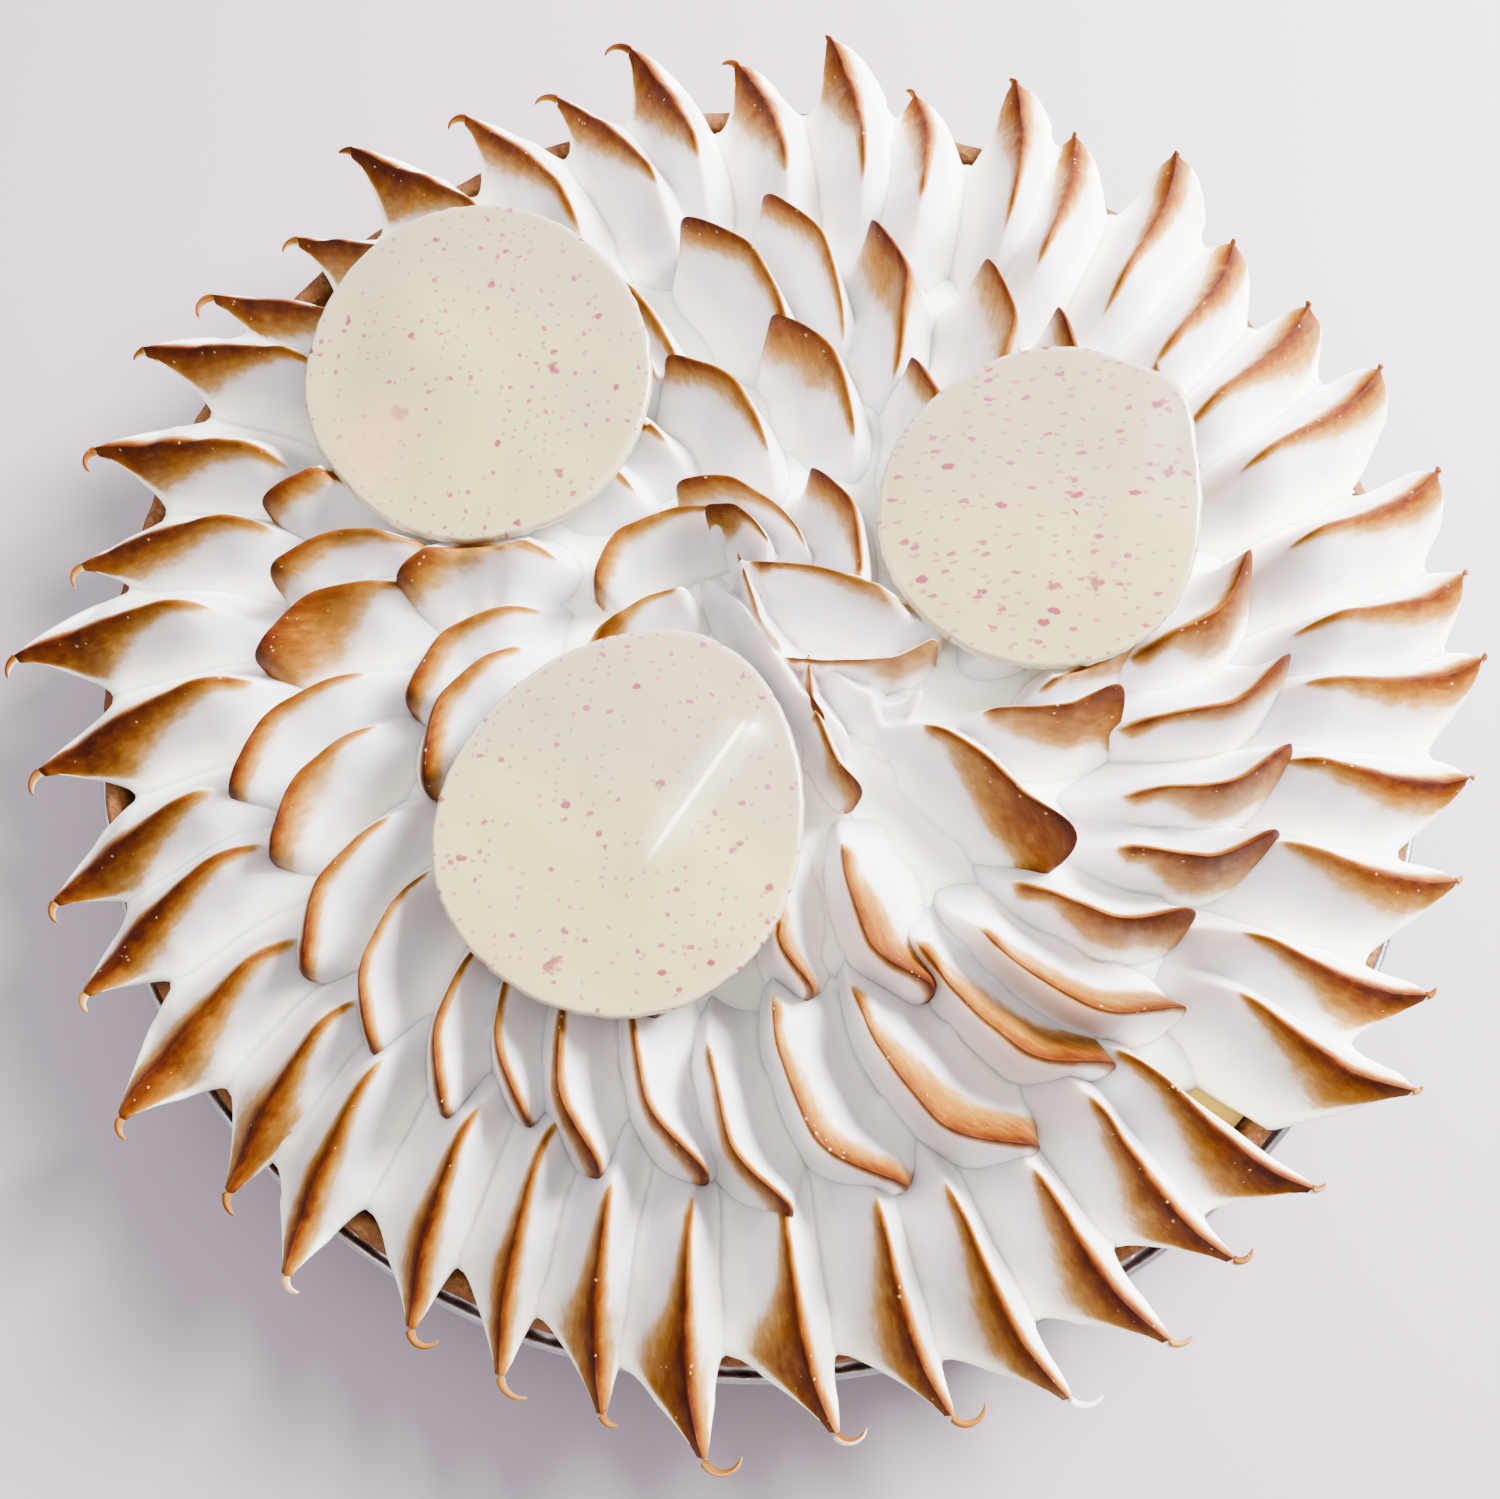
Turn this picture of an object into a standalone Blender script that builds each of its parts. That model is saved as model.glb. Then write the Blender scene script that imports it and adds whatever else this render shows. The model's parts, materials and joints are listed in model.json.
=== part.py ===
"""Lemon meringue tart: a foil tart tin, a pastry shell filled with lemon curd, a crown of piped and
toasted meringue petals laid in rings, and three thin white chocolate ovals resting on the petals.

Metres, +Z up. The origin is the middle of the tin's underside, on the table.
"""
import math
from collections import namedtuple

import bmesh
import bpy
import numpy as np

MM = 0.001
GAP = 0.4 * MM              # clear space between two pieces that touch
TURN_SIDES = 60             # sides of a turned piece
WELD = 0.005 * MM           # points closer than this are one, after cutting

# Foil tin: a 24 cm tart tin with a flat flange and a rolled bead.
TIN_RADIUS = 120 * MM       # out to the bead
TIN_FLOOR_RADIUS = 104 * MM
TIN_WALL_RADIUS = 112.4 * MM
TIN_DEPTH = 18 * MM         # table to the flange's underside
FOIL = 0.5 * MM
BEAD_RADIUS = 0.8 * MM
BEAD_NECK = 0.3 * MM        # from the bead's top in to the flange
BEAD_POINTS = 5             # points round the bead's half circle

# Pastry shell: it lies in the tin and stands up past the flange.
CRUST_RADIUS = 117 * MM
CRUST_TOP = 27.4 * MM
CRUST_WALL = 4 * MM
CRUST_FLOOR = 4 * MM
CRUST_RAGGED = 0.4 * MM     # how far the trimmed edge goes up and down
CRUST_ROUND = 1.2 * MM      # rounding of its outer edges
CRUST_BULGE = 2.5 * MM      # height of the rounding where it leaves the flange
CRUST_BEVEL = 0.6 * MM      # bevel of its inner edge

# Lemon curd
CURD_TOP = 25.6 * MM
CURD_EDGE = 1.2 * MM        # width of the low rounding where it meets the pastry
CURD_DROP = 0.4 * MM        # how far it drops there

# Meringue: petals on a low dome
BED_BOTTOM = CURD_TOP + GAP
BED_RADIUS = 110.6 * MM     # inside the pastry
BED_LIP_RADIUS = 114.4 * MM  # where it spreads over the pastry's rim
BED_DOME = ((0, 38.2), (30, 37.6), (58, 33.4), (86, 29.4), (113, 29.4))   # radius and level, mm
RIM_CLEAR = 28.2 * MM       # the underside of meringue that lies over the rim
PETAL_FOOT = 28.6 * MM      # the foot of an outer petal
PETAL_BASE = 27.8 * MM      # the flat underside of a petal, inside the bed
SWIRL_FOOT = 37.5 * MM
TIP_LIFT = 35.5 * MM        # the underside of an outer petal at its tip
TIP_SWEEP = 1.8 * MM        # a drawn tip bends counter-clockwise
TIP_THREAD = 0.8 * MM       # half width that is left at a drawn tip
PETAL_LIFT = 0.3 * MM       # petals lie at slightly different levels, up to this much

Ring = namedtuple("Ring", "count first swing swing_at twist reach shift length width height"
                          " turn turn_swing bow crest crest_swing drawn uneven_angle uneven_reach"
                          " uneven_turn foot broad seed")
# Angles are in degrees, counter-clockwise from +X. A petal runs from its inner end to its outer end.
# crest is where its ridge runs, from -1 at the clockwise foot to 1 at the counter-clockwise foot.
# Between the two angles of broad, petals are wider and have one broad face, their ridge at its edge.
OUTER = Ring(count=42, first=94.0, swing=-1.5, swing_at=64, twist=1.6, reach=125 * MM,
             shift=-1.4 * MM, length=60 * MM, width=9.6 * MM, height=19.5 * MM, turn=5.2,
             turn_swing=4, bow=5, crest=0.10, crest_swing=0.34, drawn=True, uneven_angle=1.1,
             uneven_reach=3.6 * MM, uneven_turn=3, foot=PETAL_FOOT, broad=(0, 0), seed=804851)
SECOND = Ring(count=32, first=97.9, swing=-6.0, swing_at=-12, twist=0.0, reach=87 * MM,
              shift=-4 * MM, length=44 * MM, width=9.4 * MM, height=16.8 * MM, turn=11,
              turn_swing=0, bow=12, crest=-0.55, crest_swing=0, drawn=False, uneven_angle=3.6,
              uneven_reach=4.5 * MM, uneven_turn=6, foot=32.8 * MM, broad=(282.4, 324.6),
              seed=18710)
THIRD = Ring(count=17, first=105.5, swing=5.0, swing_at=16, twist=0.0, reach=60 * MM,
             shift=-4 * MM, length=40 * MM, width=10.4 * MM, height=17 * MM, turn=15,
             turn_swing=0, bow=14, crest=-0.5, crest_swing=0, drawn=False, uneven_angle=5.0,
             uneven_reach=5 * MM, uneven_turn=9, foot=34.4 * MM, broad=(0, 0), seed=30468)
THIRD_OPEN = (270, 372)     # where petals of the swirl take the place of the third ring, degrees
DRAWN_RISE = (0.18, 0.52)   # a petal's ridge rises between these shares of its length
BLUNT_RISE = (0.12, 0.52)
BROAD_RISE = (0.0, 0.3)
BROAD_CREST = -0.8
BROAD_WIDER = 1.12

Petal = namedtuple("Petal", "x y heading length width height bow crest drawn foot skew rise")


def swirl_petal(x, y, heading, length, width, height, bow, crest, rise=(0.0, 0.35)):
    """A petal of the middle, with its place and sizes in millimetres."""
    return Petal(x * MM, y * MM, heading, length * MM, width * MM, height * MM, bow, crest, False,
                 SWIRL_FOOT, 0.0, rise)


# The middle of the crown is an uneven swirl: place, heading, length, half width, height, bow, crest.
SWIRL = (
    swirl_petal(-2, 19, 145, 27, 7.5, 14.5, 12, -0.65, rise=(0.0, 0.2)),
    swirl_petal(13, 14, 96, 30, 8.0, 14.5, 14, -0.55, rise=(0.0, 0.3)),
    swirl_petal(-16.3, 13.6, 203, 26, 7.5, 15.5, 20, -0.65, rise=(0.0, 0.1)),
    swirl_petal(-19, -2, 214, 26, 7.5, 14.5, 10, -0.65, rise=(0.0, 0.15)),
    swirl_petal(12.8, 2.6, -18, 37, 7.5, 15.5, -5, 0.75, rise=(-0.1, 0.05)),
    swirl_petal(17.2, -6.6, 4, 27, 3.6, 13.5, 20, 0.1, rise=(-0.1, 0.05)),
    swirl_petal(2, -4, -58, 44, 7.0, 13.5, -4, -0.1),
    swirl_petal(18, -11, -25, 17, 7.0, 11, 20, -0.2, rise=(-0.2, 0.0)),
    swirl_petal(10.5, -20.8, -68, 20, 4.2, 13.8, 8, 0.4),
    swirl_petal(-3, -26, -100, 30, 9.0, 12.5, 10, -0.3),
    swirl_petal(-25, -18, 200, 30, 9.0, 13, 16, -0.4),
    swirl_petal(-2.2, 16.3, 138, 12.5, 5.2, 18.3, 36, -0.25, rise=(-0.4, 0.0)),
    swirl_petal(44, -18.5, 3, 34, 7.2, 15, 6, 0.5),
    swirl_petal(34.4, -26.8, -43, 36, 9.5, 15.5, -22, 0.45, rise=(-0.1, 0.3)),
    swirl_petal(21, -45, -72, 34, 9.6, 14.5, 8, -0.7, rise=(0.0, 0.3)),
    swirl_petal(6, -47, -88, 28, 7.0, 14, 10, -0.5, rise=(0.0, 0.3)),
    swirl_petal(53.5, -8, 28, 26, 6.0, 14, -6, 0.3),
)

Oval = namedtuple("Oval", "name x y z half_width half_length egg turn tilt_x tilt_y")
# White chocolate ovals: centre of the underside, half sizes, how much one end is slimmer, and
# turn and tilts in degrees.
OVALS = (
    Oval("chocolate_oval_1", -48.8 * MM, 47.2 * MM, 47.6 * MM, 30.3 * MM, 31.3 * MM, 0.06, 10, 4, -3),
    Oval("chocolate_oval_2", 48.2 * MM, 21 * MM, 49.0 * MM, 27.4 * MM, 28.7 * MM, 0.05, -20, 3, -4),
    Oval("chocolate_oval_3", -20.6 * MM, -32.3 * MM, 50.0 * MM, 28.5 * MM, 32.5 * MM, 0.12, -22, -3, 2),
)
OVAL_THICKNESS = 2.2 * MM
OVAL_CROWN = 1.2 * MM       # how far an oval's middle stands above its rim
OVAL_SIDES = 36
PRINT_CLEAR = 0.4 * MM      # the meringue is pressed this far below an oval
PRINT_SPREAD = 0.5 * MM     # and this far out round it
PRINT_HEIGHT = 20 * MM      # nothing of the meringue stands over an oval


def make_material(name, colour, roughness, metallic=0.0):
    material = bpy.data.materials.new(name)
    material.use_nodes = True
    shader = material.node_tree.nodes["Principled BSDF"]
    shader.inputs["Base Color"].default_value = (*colour, 1.0)
    shader.inputs["Roughness"].default_value = roughness
    shader.inputs["Metallic"].default_value = metallic
    return material


def make_object(name, points, faces, material=None, collection=None):
    """One mesh object of triangles, all turned outward."""
    mesh = bpy.data.meshes.new(name)
    mesh.from_pydata([tuple(point) for point in points], [], faces)
    work = bmesh.new()
    work.from_mesh(mesh)
    bmesh.ops.recalc_face_normals(work, faces=work.faces)
    bmesh.ops.triangulate(work, faces=work.faces)
    work.to_mesh(mesh)
    work.free()
    mesh.shade_smooth()
    mesh.set_sharp_from_angle(angle=math.radians(40))
    if material:
        mesh.materials.append(material)
    item = bpy.data.objects.new(name, mesh)
    (collection or bpy.context.scene.collection).objects.link(item)
    return item


def turned(name, profile, material, ripple=None):
    """A piece turned round Z from a profile that starts and ends on the axis.

    ripple(angle, radius, height) gives the height to use there.
    """
    points = [(0.0, 0.0, profile[0][1])]
    for radius, height in profile[1:-1]:
        for side in range(TURN_SIDES):
            angle = math.tau * side / TURN_SIDES
            level = ripple(angle, radius, height) if ripple else height
            points.append((radius * math.cos(angle), radius * math.sin(angle), level))
    points.append((0.0, 0.0, profile[-1][1]))
    rows = len(profile) - 2
    last = len(points) - 1
    faces = []
    for side in range(TURN_SIDES):
        after = (side + 1) % TURN_SIDES
        faces.append((0, 1 + after, 1 + side))
        for row in range(rows - 1):
            start = 1 + row * TURN_SIDES
            above = start + TURN_SIDES
            faces.append((start + side, start + after, above + after, above + side))
        start = 1 + (rows - 1) * TURN_SIDES
        faces.append((start + side, start + after, last))
    return make_object(name, points, faces, material)


def make_tin():
    flange = TIN_DEPTH + FOIL
    bead = TIN_RADIUS - BEAD_RADIUS
    profile = [(0, 0), (TIN_FLOOR_RADIUS, 0), (TIN_WALL_RADIUS, TIN_DEPTH), (bead, TIN_DEPTH)]
    for angle in np.linspace(-0.5 * math.pi, 0.5 * math.pi, BEAD_POINTS):
        profile.append((bead + BEAD_RADIUS * math.cos(angle),
                        flange + BEAD_RADIUS * math.sin(angle)))
    profile += [(bead - BEAD_NECK, flange), (TIN_WALL_RADIUS - FOIL, flange),
                (TIN_FLOOR_RADIUS - FOIL, FOIL), (0, FOIL)]
    return turned("tin", profile, make_material("foil", (0.78, 0.79, 0.80), 0.3, 1.0))


def ragged_edge(angle, radius, height):
    """Only the pastry's top edge goes up and down, in uneven waves round the rim."""
    if height < CRUST_TOP - CRUST_RAGGED:
        return height
    waves = ((9, 1.0, 0.0), (23, 0.7, 1.3), (31, 0.5, 0.0))     # waves round the rim, share, phase
    wave = sum(share * math.sin(count * angle + phase) for count, share, phase in waves)
    return height + CRUST_RAGGED * wave / sum(share for _, share, _ in waves)


def make_crust():
    floor = FOIL + GAP
    rest = TIN_DEPTH + FOIL + GAP
    foot = TIN_FLOOR_RADIUS - FOIL - GAP
    wall = TIN_WALL_RADIUS - FOIL - GAP
    inner = CRUST_RADIUS - CRUST_WALL
    profile = [(0, floor), (foot, floor), (wall, rest), (CRUST_RADIUS - CRUST_ROUND, rest),
               (CRUST_RADIUS, rest + CRUST_BULGE), (CRUST_RADIUS, CRUST_TOP - CRUST_ROUND),
               (CRUST_RADIUS - CRUST_ROUND, CRUST_TOP), (inner + CRUST_BEVEL, CRUST_TOP),
               (inner - GAP, CURD_TOP - GAP), (foot - CRUST_WALL, floor + CRUST_FLOOR),
               (0, floor + CRUST_FLOOR)]
    return turned("crust", profile, make_material("baked_pastry", (0.42, 0.19, 0.055), 0.55),
                  ragged_edge)


def make_filling():
    """Lemon curd: level, and a little lower where it meets the pastry."""
    floor = FOIL + GAP + CRUST_FLOOR + GAP
    foot = TIN_FLOOR_RADIUS - FOIL - 2 * GAP - CRUST_WALL
    edge = CRUST_RADIUS - CRUST_WALL - 3 * GAP
    level = CURD_TOP - 0.5 * GAP
    profile = [(0, floor), (foot, floor), (edge, level - CURD_DROP), (edge - CURD_EDGE, level),
               (0, level)]
    return turned("filling", profile, make_material("lemon_curd", (0.85, 0.68, 0.10), 0.25))


def smooth(low, high, value):
    """0 below low, 1 above high, and an S curve between them."""
    share = np.clip((value - low) / (high - low), 0, 1)
    return share * share * (3 - 2 * share)


def ring_petals(ring):
    """The petals of one ring: evenly spaced, with a slow drift round it and a small uneven draw.

    A petal with more room to its neighbours is made wider to fill it. The ridge of a drawn petal
    keeps to one side of the ring's plan, so it changes its flank round the ring.
    """
    draw = np.random.default_rng(ring.seed).uniform(-1, 1, (ring.count, 6))
    even = ring.first - 360 * np.arange(ring.count) / ring.count
    drift = even + ring.swing * np.cos(np.radians(even - ring.swing_at))
    angles = drift + ring.twist * np.sin(np.radians(2 * drift)) + ring.uneven_angle * draw[:, 0]
    room = (np.roll(angles, 1) - np.roll(angles, -1)) % 360 * ring.count / 720
    petals = []
    for index, angle in enumerate(angles):
        reach = ring.reach + ring.uneven_reach * draw[index, 1]
        length = ring.length * (1 + 0.05 * draw[index, 2])
        sway = math.sin(math.radians(angle))
        heading = angle + ring.turn + ring.turn_swing * sway + ring.uneven_turn * draw[index, 3]
        width = ring.width * (0.35 + 0.65 * min(room[index], 1.5))
        height = ring.height * (1 + 0.07 * draw[index, 4])
        skew = math.cos(math.radians(angle + 50))
        crest = ring.crest + ring.crest_swing * skew + 0.12 * draw[index, 5]
        rise = DRAWN_RISE if ring.drawn else BLUNT_RISE
        if ring.broad[0] < angle % 360 < ring.broad[1]:
            crest, width, rise = BROAD_CREST, BROAD_WIDER * width, BROAD_RISE
        petal = Petal(0, 0, heading, length, width, height, ring.bow, crest, ring.drawn, ring.foot,
                      skew, rise)
        end = petal_edges(petal, 1.0)[1] if ring.drawn else 0.0
        end_x, end_y = petal_place(petal, 1.0, end)
        petals.append((angle, petal._replace(
            x=reach * math.cos(math.radians(angle)) - end_x,
            y=reach * math.sin(math.radians(angle)) + ring.shift - end_y)))
    return petals


def petal_edges(petal, t):
    """Across positions of the clockwise foot, the ridge and the counter-clockwise foot at t.

    A drawn petal narrows to its ridge line: the flatter side falls in, the other swells out.
    A blunt one ends in half an oval, and its ridge hooks round the end.
    """
    inner = petal.width * (0.6 + 0.4 * smooth(0, 0.4, t))
    inner = inner * np.sqrt(1 - np.clip((0.08 - t) / 0.08, 0, 1) ** 2)
    if petal.drawn:
        inner = inner * (0.86 + 0.26 * t)
        taper = 1 - np.clip((t - 0.74) / 0.26, 0, 1)
        ridge = petal.crest * inner + TIP_SWEEP * (1 - taper) ** 2
        thread = TIP_THREAD * (1 - taper)
        right = inner * (1 + petal.crest) * taper ** (1.2 + 0.35 * petal.skew) + thread
        left = inner * (1 - petal.crest) * taper ** (1.2 - 0.35 * petal.skew) + thread
        return ridge - right, ridge, ridge + left
    half = inner * np.sqrt(1 - np.clip((t - 0.72) / 0.285, 0, 1) ** 2)
    return -half, half * (petal.crest + 0.72 * smooth(0.66, 1.0, t)), half


def petal_height(petal, t):
    """Height of the ridge over the foot at t: it rises from under the next ring, then runs out."""
    rise = 0.07 + 0.93 * smooth(*petal.rise, t)
    if petal.drawn:
        return petal.height * rise * (1 - 0.93 * np.clip((t - 0.42) / 0.58, 0, 1) ** 1.25)
    return petal.height * rise * (1 - np.clip((t - 0.84) / 0.16, 0, 1) ** 2.4) ** 0.55


def flank(petal, share):
    """Height share of the broader flank: between a hollow slope and an S."""
    lean = 0.5 + 0.7 * abs(petal.crest)
    steep = 0.55 * share + 0.45 * math.sin(0.5 * math.pi * share) ** 2
    return lean * share ** 1.35 + (1 - lean) * steep


def petal_place(petal, t, across):
    """Plan position at t along a gently bowed centre line and across to its left."""
    along = (t - 0.5) * petal.length
    bend = 1 / petal.bow
    ahead = (bend - across) * math.sin(along / bend)
    left = bend - (bend - across) * math.cos(along / bend)
    turn = math.radians(petal.heading)
    return (petal.x + ahead * math.cos(turn) - left * math.sin(turn),
            petal.y + ahead * math.sin(turn) + left * math.cos(turn))


def underside(x, y):
    """Flat over the bed, a step clear of the pastry's rim, then up towards the drawn tips."""
    radius = math.hypot(x, y)
    return np.interp(radius, (107.5 * MM, 111.5 * MM, 118.5 * MM, 127.5 * MM),
                     (PETAL_BASE, RIM_CLEAR + 0.2 * MM, RIM_CLEAR + 1.2 * MM, TIP_LIFT))


BLUNT_STATIONS = (0.12, 0.4, 0.6, 0.8, 0.91, 0.98)
DRAWN_STATIONS = (0.12, 0.42, 0.74, 0.87, 0.96)
MID_FLANK = 0.5             # share of the broader flank where its extra point lies
UNDER_SHARE = 0.8           # the underside is this much of the petal's width


def make_petal(petal, collection):
    """A petal as a loop of six points at each station, closed with a pole at either end.

    Each one lies at its own small lift, so that no two undersides share a plane.
    """
    stations = DRAWN_STATIONS if petal.drawn else BLUNT_STATIONS
    lift = PETAL_LIFT * (petal.heading % 1.0)
    points = []
    for t in stations:
        right, ridge, left = petal_edges(petal, t)
        tall = petal_height(petal, t)
        broad = right if petal.crest > 0 else left
        middle = (ridge + (1 - MID_FLANK) * (broad - ridge), flank(petal, MID_FLANK))
        top = [(right, 0), (ridge, 1), (left, 0)]
        top.insert(1 if petal.crest > 0 else 2, middle)
        for across, share in top:
            x, y = petal_place(petal, t, across)
            step = min(petal.foot - PETAL_BASE, 0.15 * (left - right)) if petal.drawn \
                else petal.foot - PETAL_BASE
            points.append((x, y, underside(x, y) + step + lift + tall * share))
        centre, half = 0.5 * (left + right), 0.5 * (left - right)
        for across in (centre + UNDER_SHARE * half, centre - UNDER_SHARE * half):
            x, y = petal_place(petal, t, across)
            points.append((x, y, underside(x, y) + lift))
    size = 6
    faces = []
    for row in range(len(stations) - 1):
        for side in range(size):
            after = (side + 1) % size
            faces.append((row * size + side, row * size + after,
                          (row + 1) * size + after, (row + 1) * size + side))
    for t, row in ((0.0, 0), (1.0, len(stations) - 1)):
        pole = len(points)
        x, y = petal_place(petal, t, petal_edges(petal, t)[1] if petal.drawn and t else 0.0)
        points.append((x, y, underside(x, y) + lift + PETAL_FOOT - PETAL_BASE))
        faces += [(row * size + side, row * size + (side + 1) % size, pole) for side in range(size)]
    return make_object("petal", points, faces, None, collection)


def oval_point(oval, share, angle, level, spread=0.0):
    """A point of an oval: share of the way out at an angle, level over its underside at the rim."""
    half_width = (oval.half_width + spread) * (1 - oval.egg * math.sin(angle))
    x = share * half_width * math.cos(angle)
    y = share * (oval.half_length + spread) * math.sin(angle)
    z = level + OVAL_CROWN * (1 - share * share)
    turn = math.radians(oval.turn)
    ahead = x * math.cos(turn) - y * math.sin(turn)
    left = x * math.sin(turn) + y * math.cos(turn)
    rise = left * math.tan(math.radians(oval.tilt_x)) - ahead * math.tan(math.radians(oval.tilt_y))
    return oval.x + ahead, oval.y + left, oval.z + z + rise


def make_oval(oval, low, high, spread, name, material=None):
    """A thin crowned plaque from level low to level high; a cutter for its bed is a taller one."""
    rings = ((0.55, low), (1.0, low), (1.0, high), (0.55, high))
    points = [oval_point(oval, 0, 0, low)]
    for share, level in rings:
        points += [oval_point(oval, share, math.tau * side / OVAL_SIDES, level, spread)
                   for side in range(OVAL_SIDES)]
    points.append(oval_point(oval, 0, 0, high))
    last = len(points) - 1
    faces = []
    for side in range(OVAL_SIDES):
        after = (side + 1) % OVAL_SIDES
        faces.append((0, 1 + after, 1 + side))
        faces.append((1 + 3 * OVAL_SIDES + side, 1 + 3 * OVAL_SIDES + after, last))
        for row in range(3):
            start = 1 + row * OVAL_SIDES
            faces.append((start + side, start + after,
                          start + OVAL_SIDES + after, start + OVAL_SIDES + side))
    return make_object(name, points, faces, material)


def apply_booleans(item):
    """Keep what the modifiers give as the object's own mesh."""
    graph = bpy.context.evaluated_depsgraph_get()
    mesh = bpy.data.meshes.new_from_object(item.evaluated_get(graph))
    item.modifiers.clear()
    item.data = mesh


def add_boolean(item, operation, other):
    step = item.modifiers.new(operation.lower(), "BOOLEAN")
    step.operation = operation
    step.solver = "MANIFOLD"
    if isinstance(other, bpy.types.Collection):
        step.operand_type = "COLLECTION"
        step.collection = other
    else:
        step.object = other


def keep_largest_body(item):
    """Drop the loose scraps that cutting leaves, and weld slivers."""
    work = bmesh.new()
    work.from_mesh(item.data)
    bmesh.ops.remove_doubles(work, verts=work.verts, dist=WELD)
    seen = set()
    bodies = []
    for start in work.faces:
        if start in seen:
            continue
        seen.add(start)
        body = [start]
        for face in body:
            for edge in face.edges:
                fresh = [near for near in edge.link_faces if near not in seen]
                seen.update(fresh)
                body.extend(fresh)
        bodies.append(body)
    bodies.sort(key=len)
    scraps = [face for body in bodies[:-1] for face in body]
    bmesh.ops.delete(work, geom=scraps, context="FACES")
    bmesh.ops.triangulate(work, faces=work.faces)
    work.to_mesh(item.data)
    work.free()


def make_meringue():
    petals = bpy.data.collections.new("petals")
    bpy.context.scene.collection.children.link(petals)
    for _, petal in ring_petals(OUTER) + ring_petals(SECOND):
        make_petal(petal, petals)
    for angle, petal in ring_petals(THIRD):
        if not THIRD_OPEN[0] < (angle - THIRD_OPEN[1]) % 360 + THIRD_OPEN[1] - 360:
            make_petal(petal, petals)
    for petal in SWIRL:
        make_petal(petal, petals)

    white = make_material("toasted_meringue", (0.93, 0.90, 0.86), 0.5)
    profile = [(0, BED_BOTTOM), (BED_RADIUS, BED_BOTTOM), (BED_RADIUS + 2 * GAP, RIM_CLEAR),
               (BED_LIP_RADIUS - GAP, RIM_CLEAR), (BED_LIP_RADIUS, RIM_CLEAR + GAP)]
    profile += [(radius * MM, level * MM) for radius, level in reversed(BED_DOME)]
    meringue = turned("meringue", profile, white)
    add_boolean(meringue, "UNION", petals)
    apply_booleans(meringue)
    for petal in list(petals.objects):
        bpy.data.objects.remove(petal)
    bpy.data.collections.remove(petals)

    # Each oval lies in its own print, with nothing of the meringue above it.
    for oval in OVALS:
        cutter = make_oval(oval, -PRINT_CLEAR, PRINT_HEIGHT, PRINT_SPREAD, "cutter")
        add_boolean(meringue, "DIFFERENCE", cutter)
        apply_booleans(meringue)
        bpy.data.objects.remove(cutter)
    keep_largest_body(meringue)
    return meringue


def main():
    for item in list(bpy.data.objects):
        bpy.data.objects.remove(item)
    make_tin()
    make_crust()
    make_filling()
    make_meringue()
    chocolate = make_material("white_chocolate", (0.90, 0.82, 0.62), 0.35)
    for oval in OVALS:
        make_oval(oval, 0.0, OVAL_THICKNESS, 0.0, oval.name, chocolate)


main()
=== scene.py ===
"""Lemon meringue tart: the looks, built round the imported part.

The crown is the same set of petals as the part's: every petal is a closed surface of two
parameters, how far along it (t) and how much of the way from its foot to its ridge (share),
and neighbours run into each other with a rounded valley. The browning is worked out from the
distance to the ridge and kept on the mesh for the material. Metres, +Z up. Directions in plan
are in degrees, counter-clockwise from +X.
"""
import json
import math
from collections import namedtuple

import bpy
import numpy as np
from mathutils import Matrix, Vector

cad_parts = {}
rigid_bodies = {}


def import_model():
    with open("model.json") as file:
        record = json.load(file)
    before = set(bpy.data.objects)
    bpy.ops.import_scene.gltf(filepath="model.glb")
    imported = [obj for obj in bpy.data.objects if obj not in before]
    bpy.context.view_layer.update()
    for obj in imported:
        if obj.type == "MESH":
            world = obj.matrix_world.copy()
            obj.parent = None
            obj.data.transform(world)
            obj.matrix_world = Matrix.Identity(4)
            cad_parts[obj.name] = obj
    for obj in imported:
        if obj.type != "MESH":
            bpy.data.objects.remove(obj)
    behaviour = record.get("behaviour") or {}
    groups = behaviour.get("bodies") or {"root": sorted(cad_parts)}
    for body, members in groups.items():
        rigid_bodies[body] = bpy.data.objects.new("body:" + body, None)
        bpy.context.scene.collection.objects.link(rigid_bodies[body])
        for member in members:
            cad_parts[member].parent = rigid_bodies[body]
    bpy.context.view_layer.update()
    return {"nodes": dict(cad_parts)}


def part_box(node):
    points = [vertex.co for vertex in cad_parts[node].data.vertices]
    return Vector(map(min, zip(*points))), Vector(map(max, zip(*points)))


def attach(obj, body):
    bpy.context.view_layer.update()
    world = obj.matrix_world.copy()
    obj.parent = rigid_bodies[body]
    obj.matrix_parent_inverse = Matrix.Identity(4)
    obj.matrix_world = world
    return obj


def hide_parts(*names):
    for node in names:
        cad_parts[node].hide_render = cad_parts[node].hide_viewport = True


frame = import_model()

MM = 0.001
BODY = "root"

# Levels and radii, from the part
CURD_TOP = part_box("filling")[1].z
CRUST_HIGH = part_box("crust")[1].z
CRUST_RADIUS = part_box("crust")[1].x
TIN_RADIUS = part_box("tin")[1].x
UNDERSIDE = CURD_TOP - 0.15 * MM                         # the meringue stands just in the curd

# --------------------------------------------------------------------------- meringue: the petals

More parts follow.
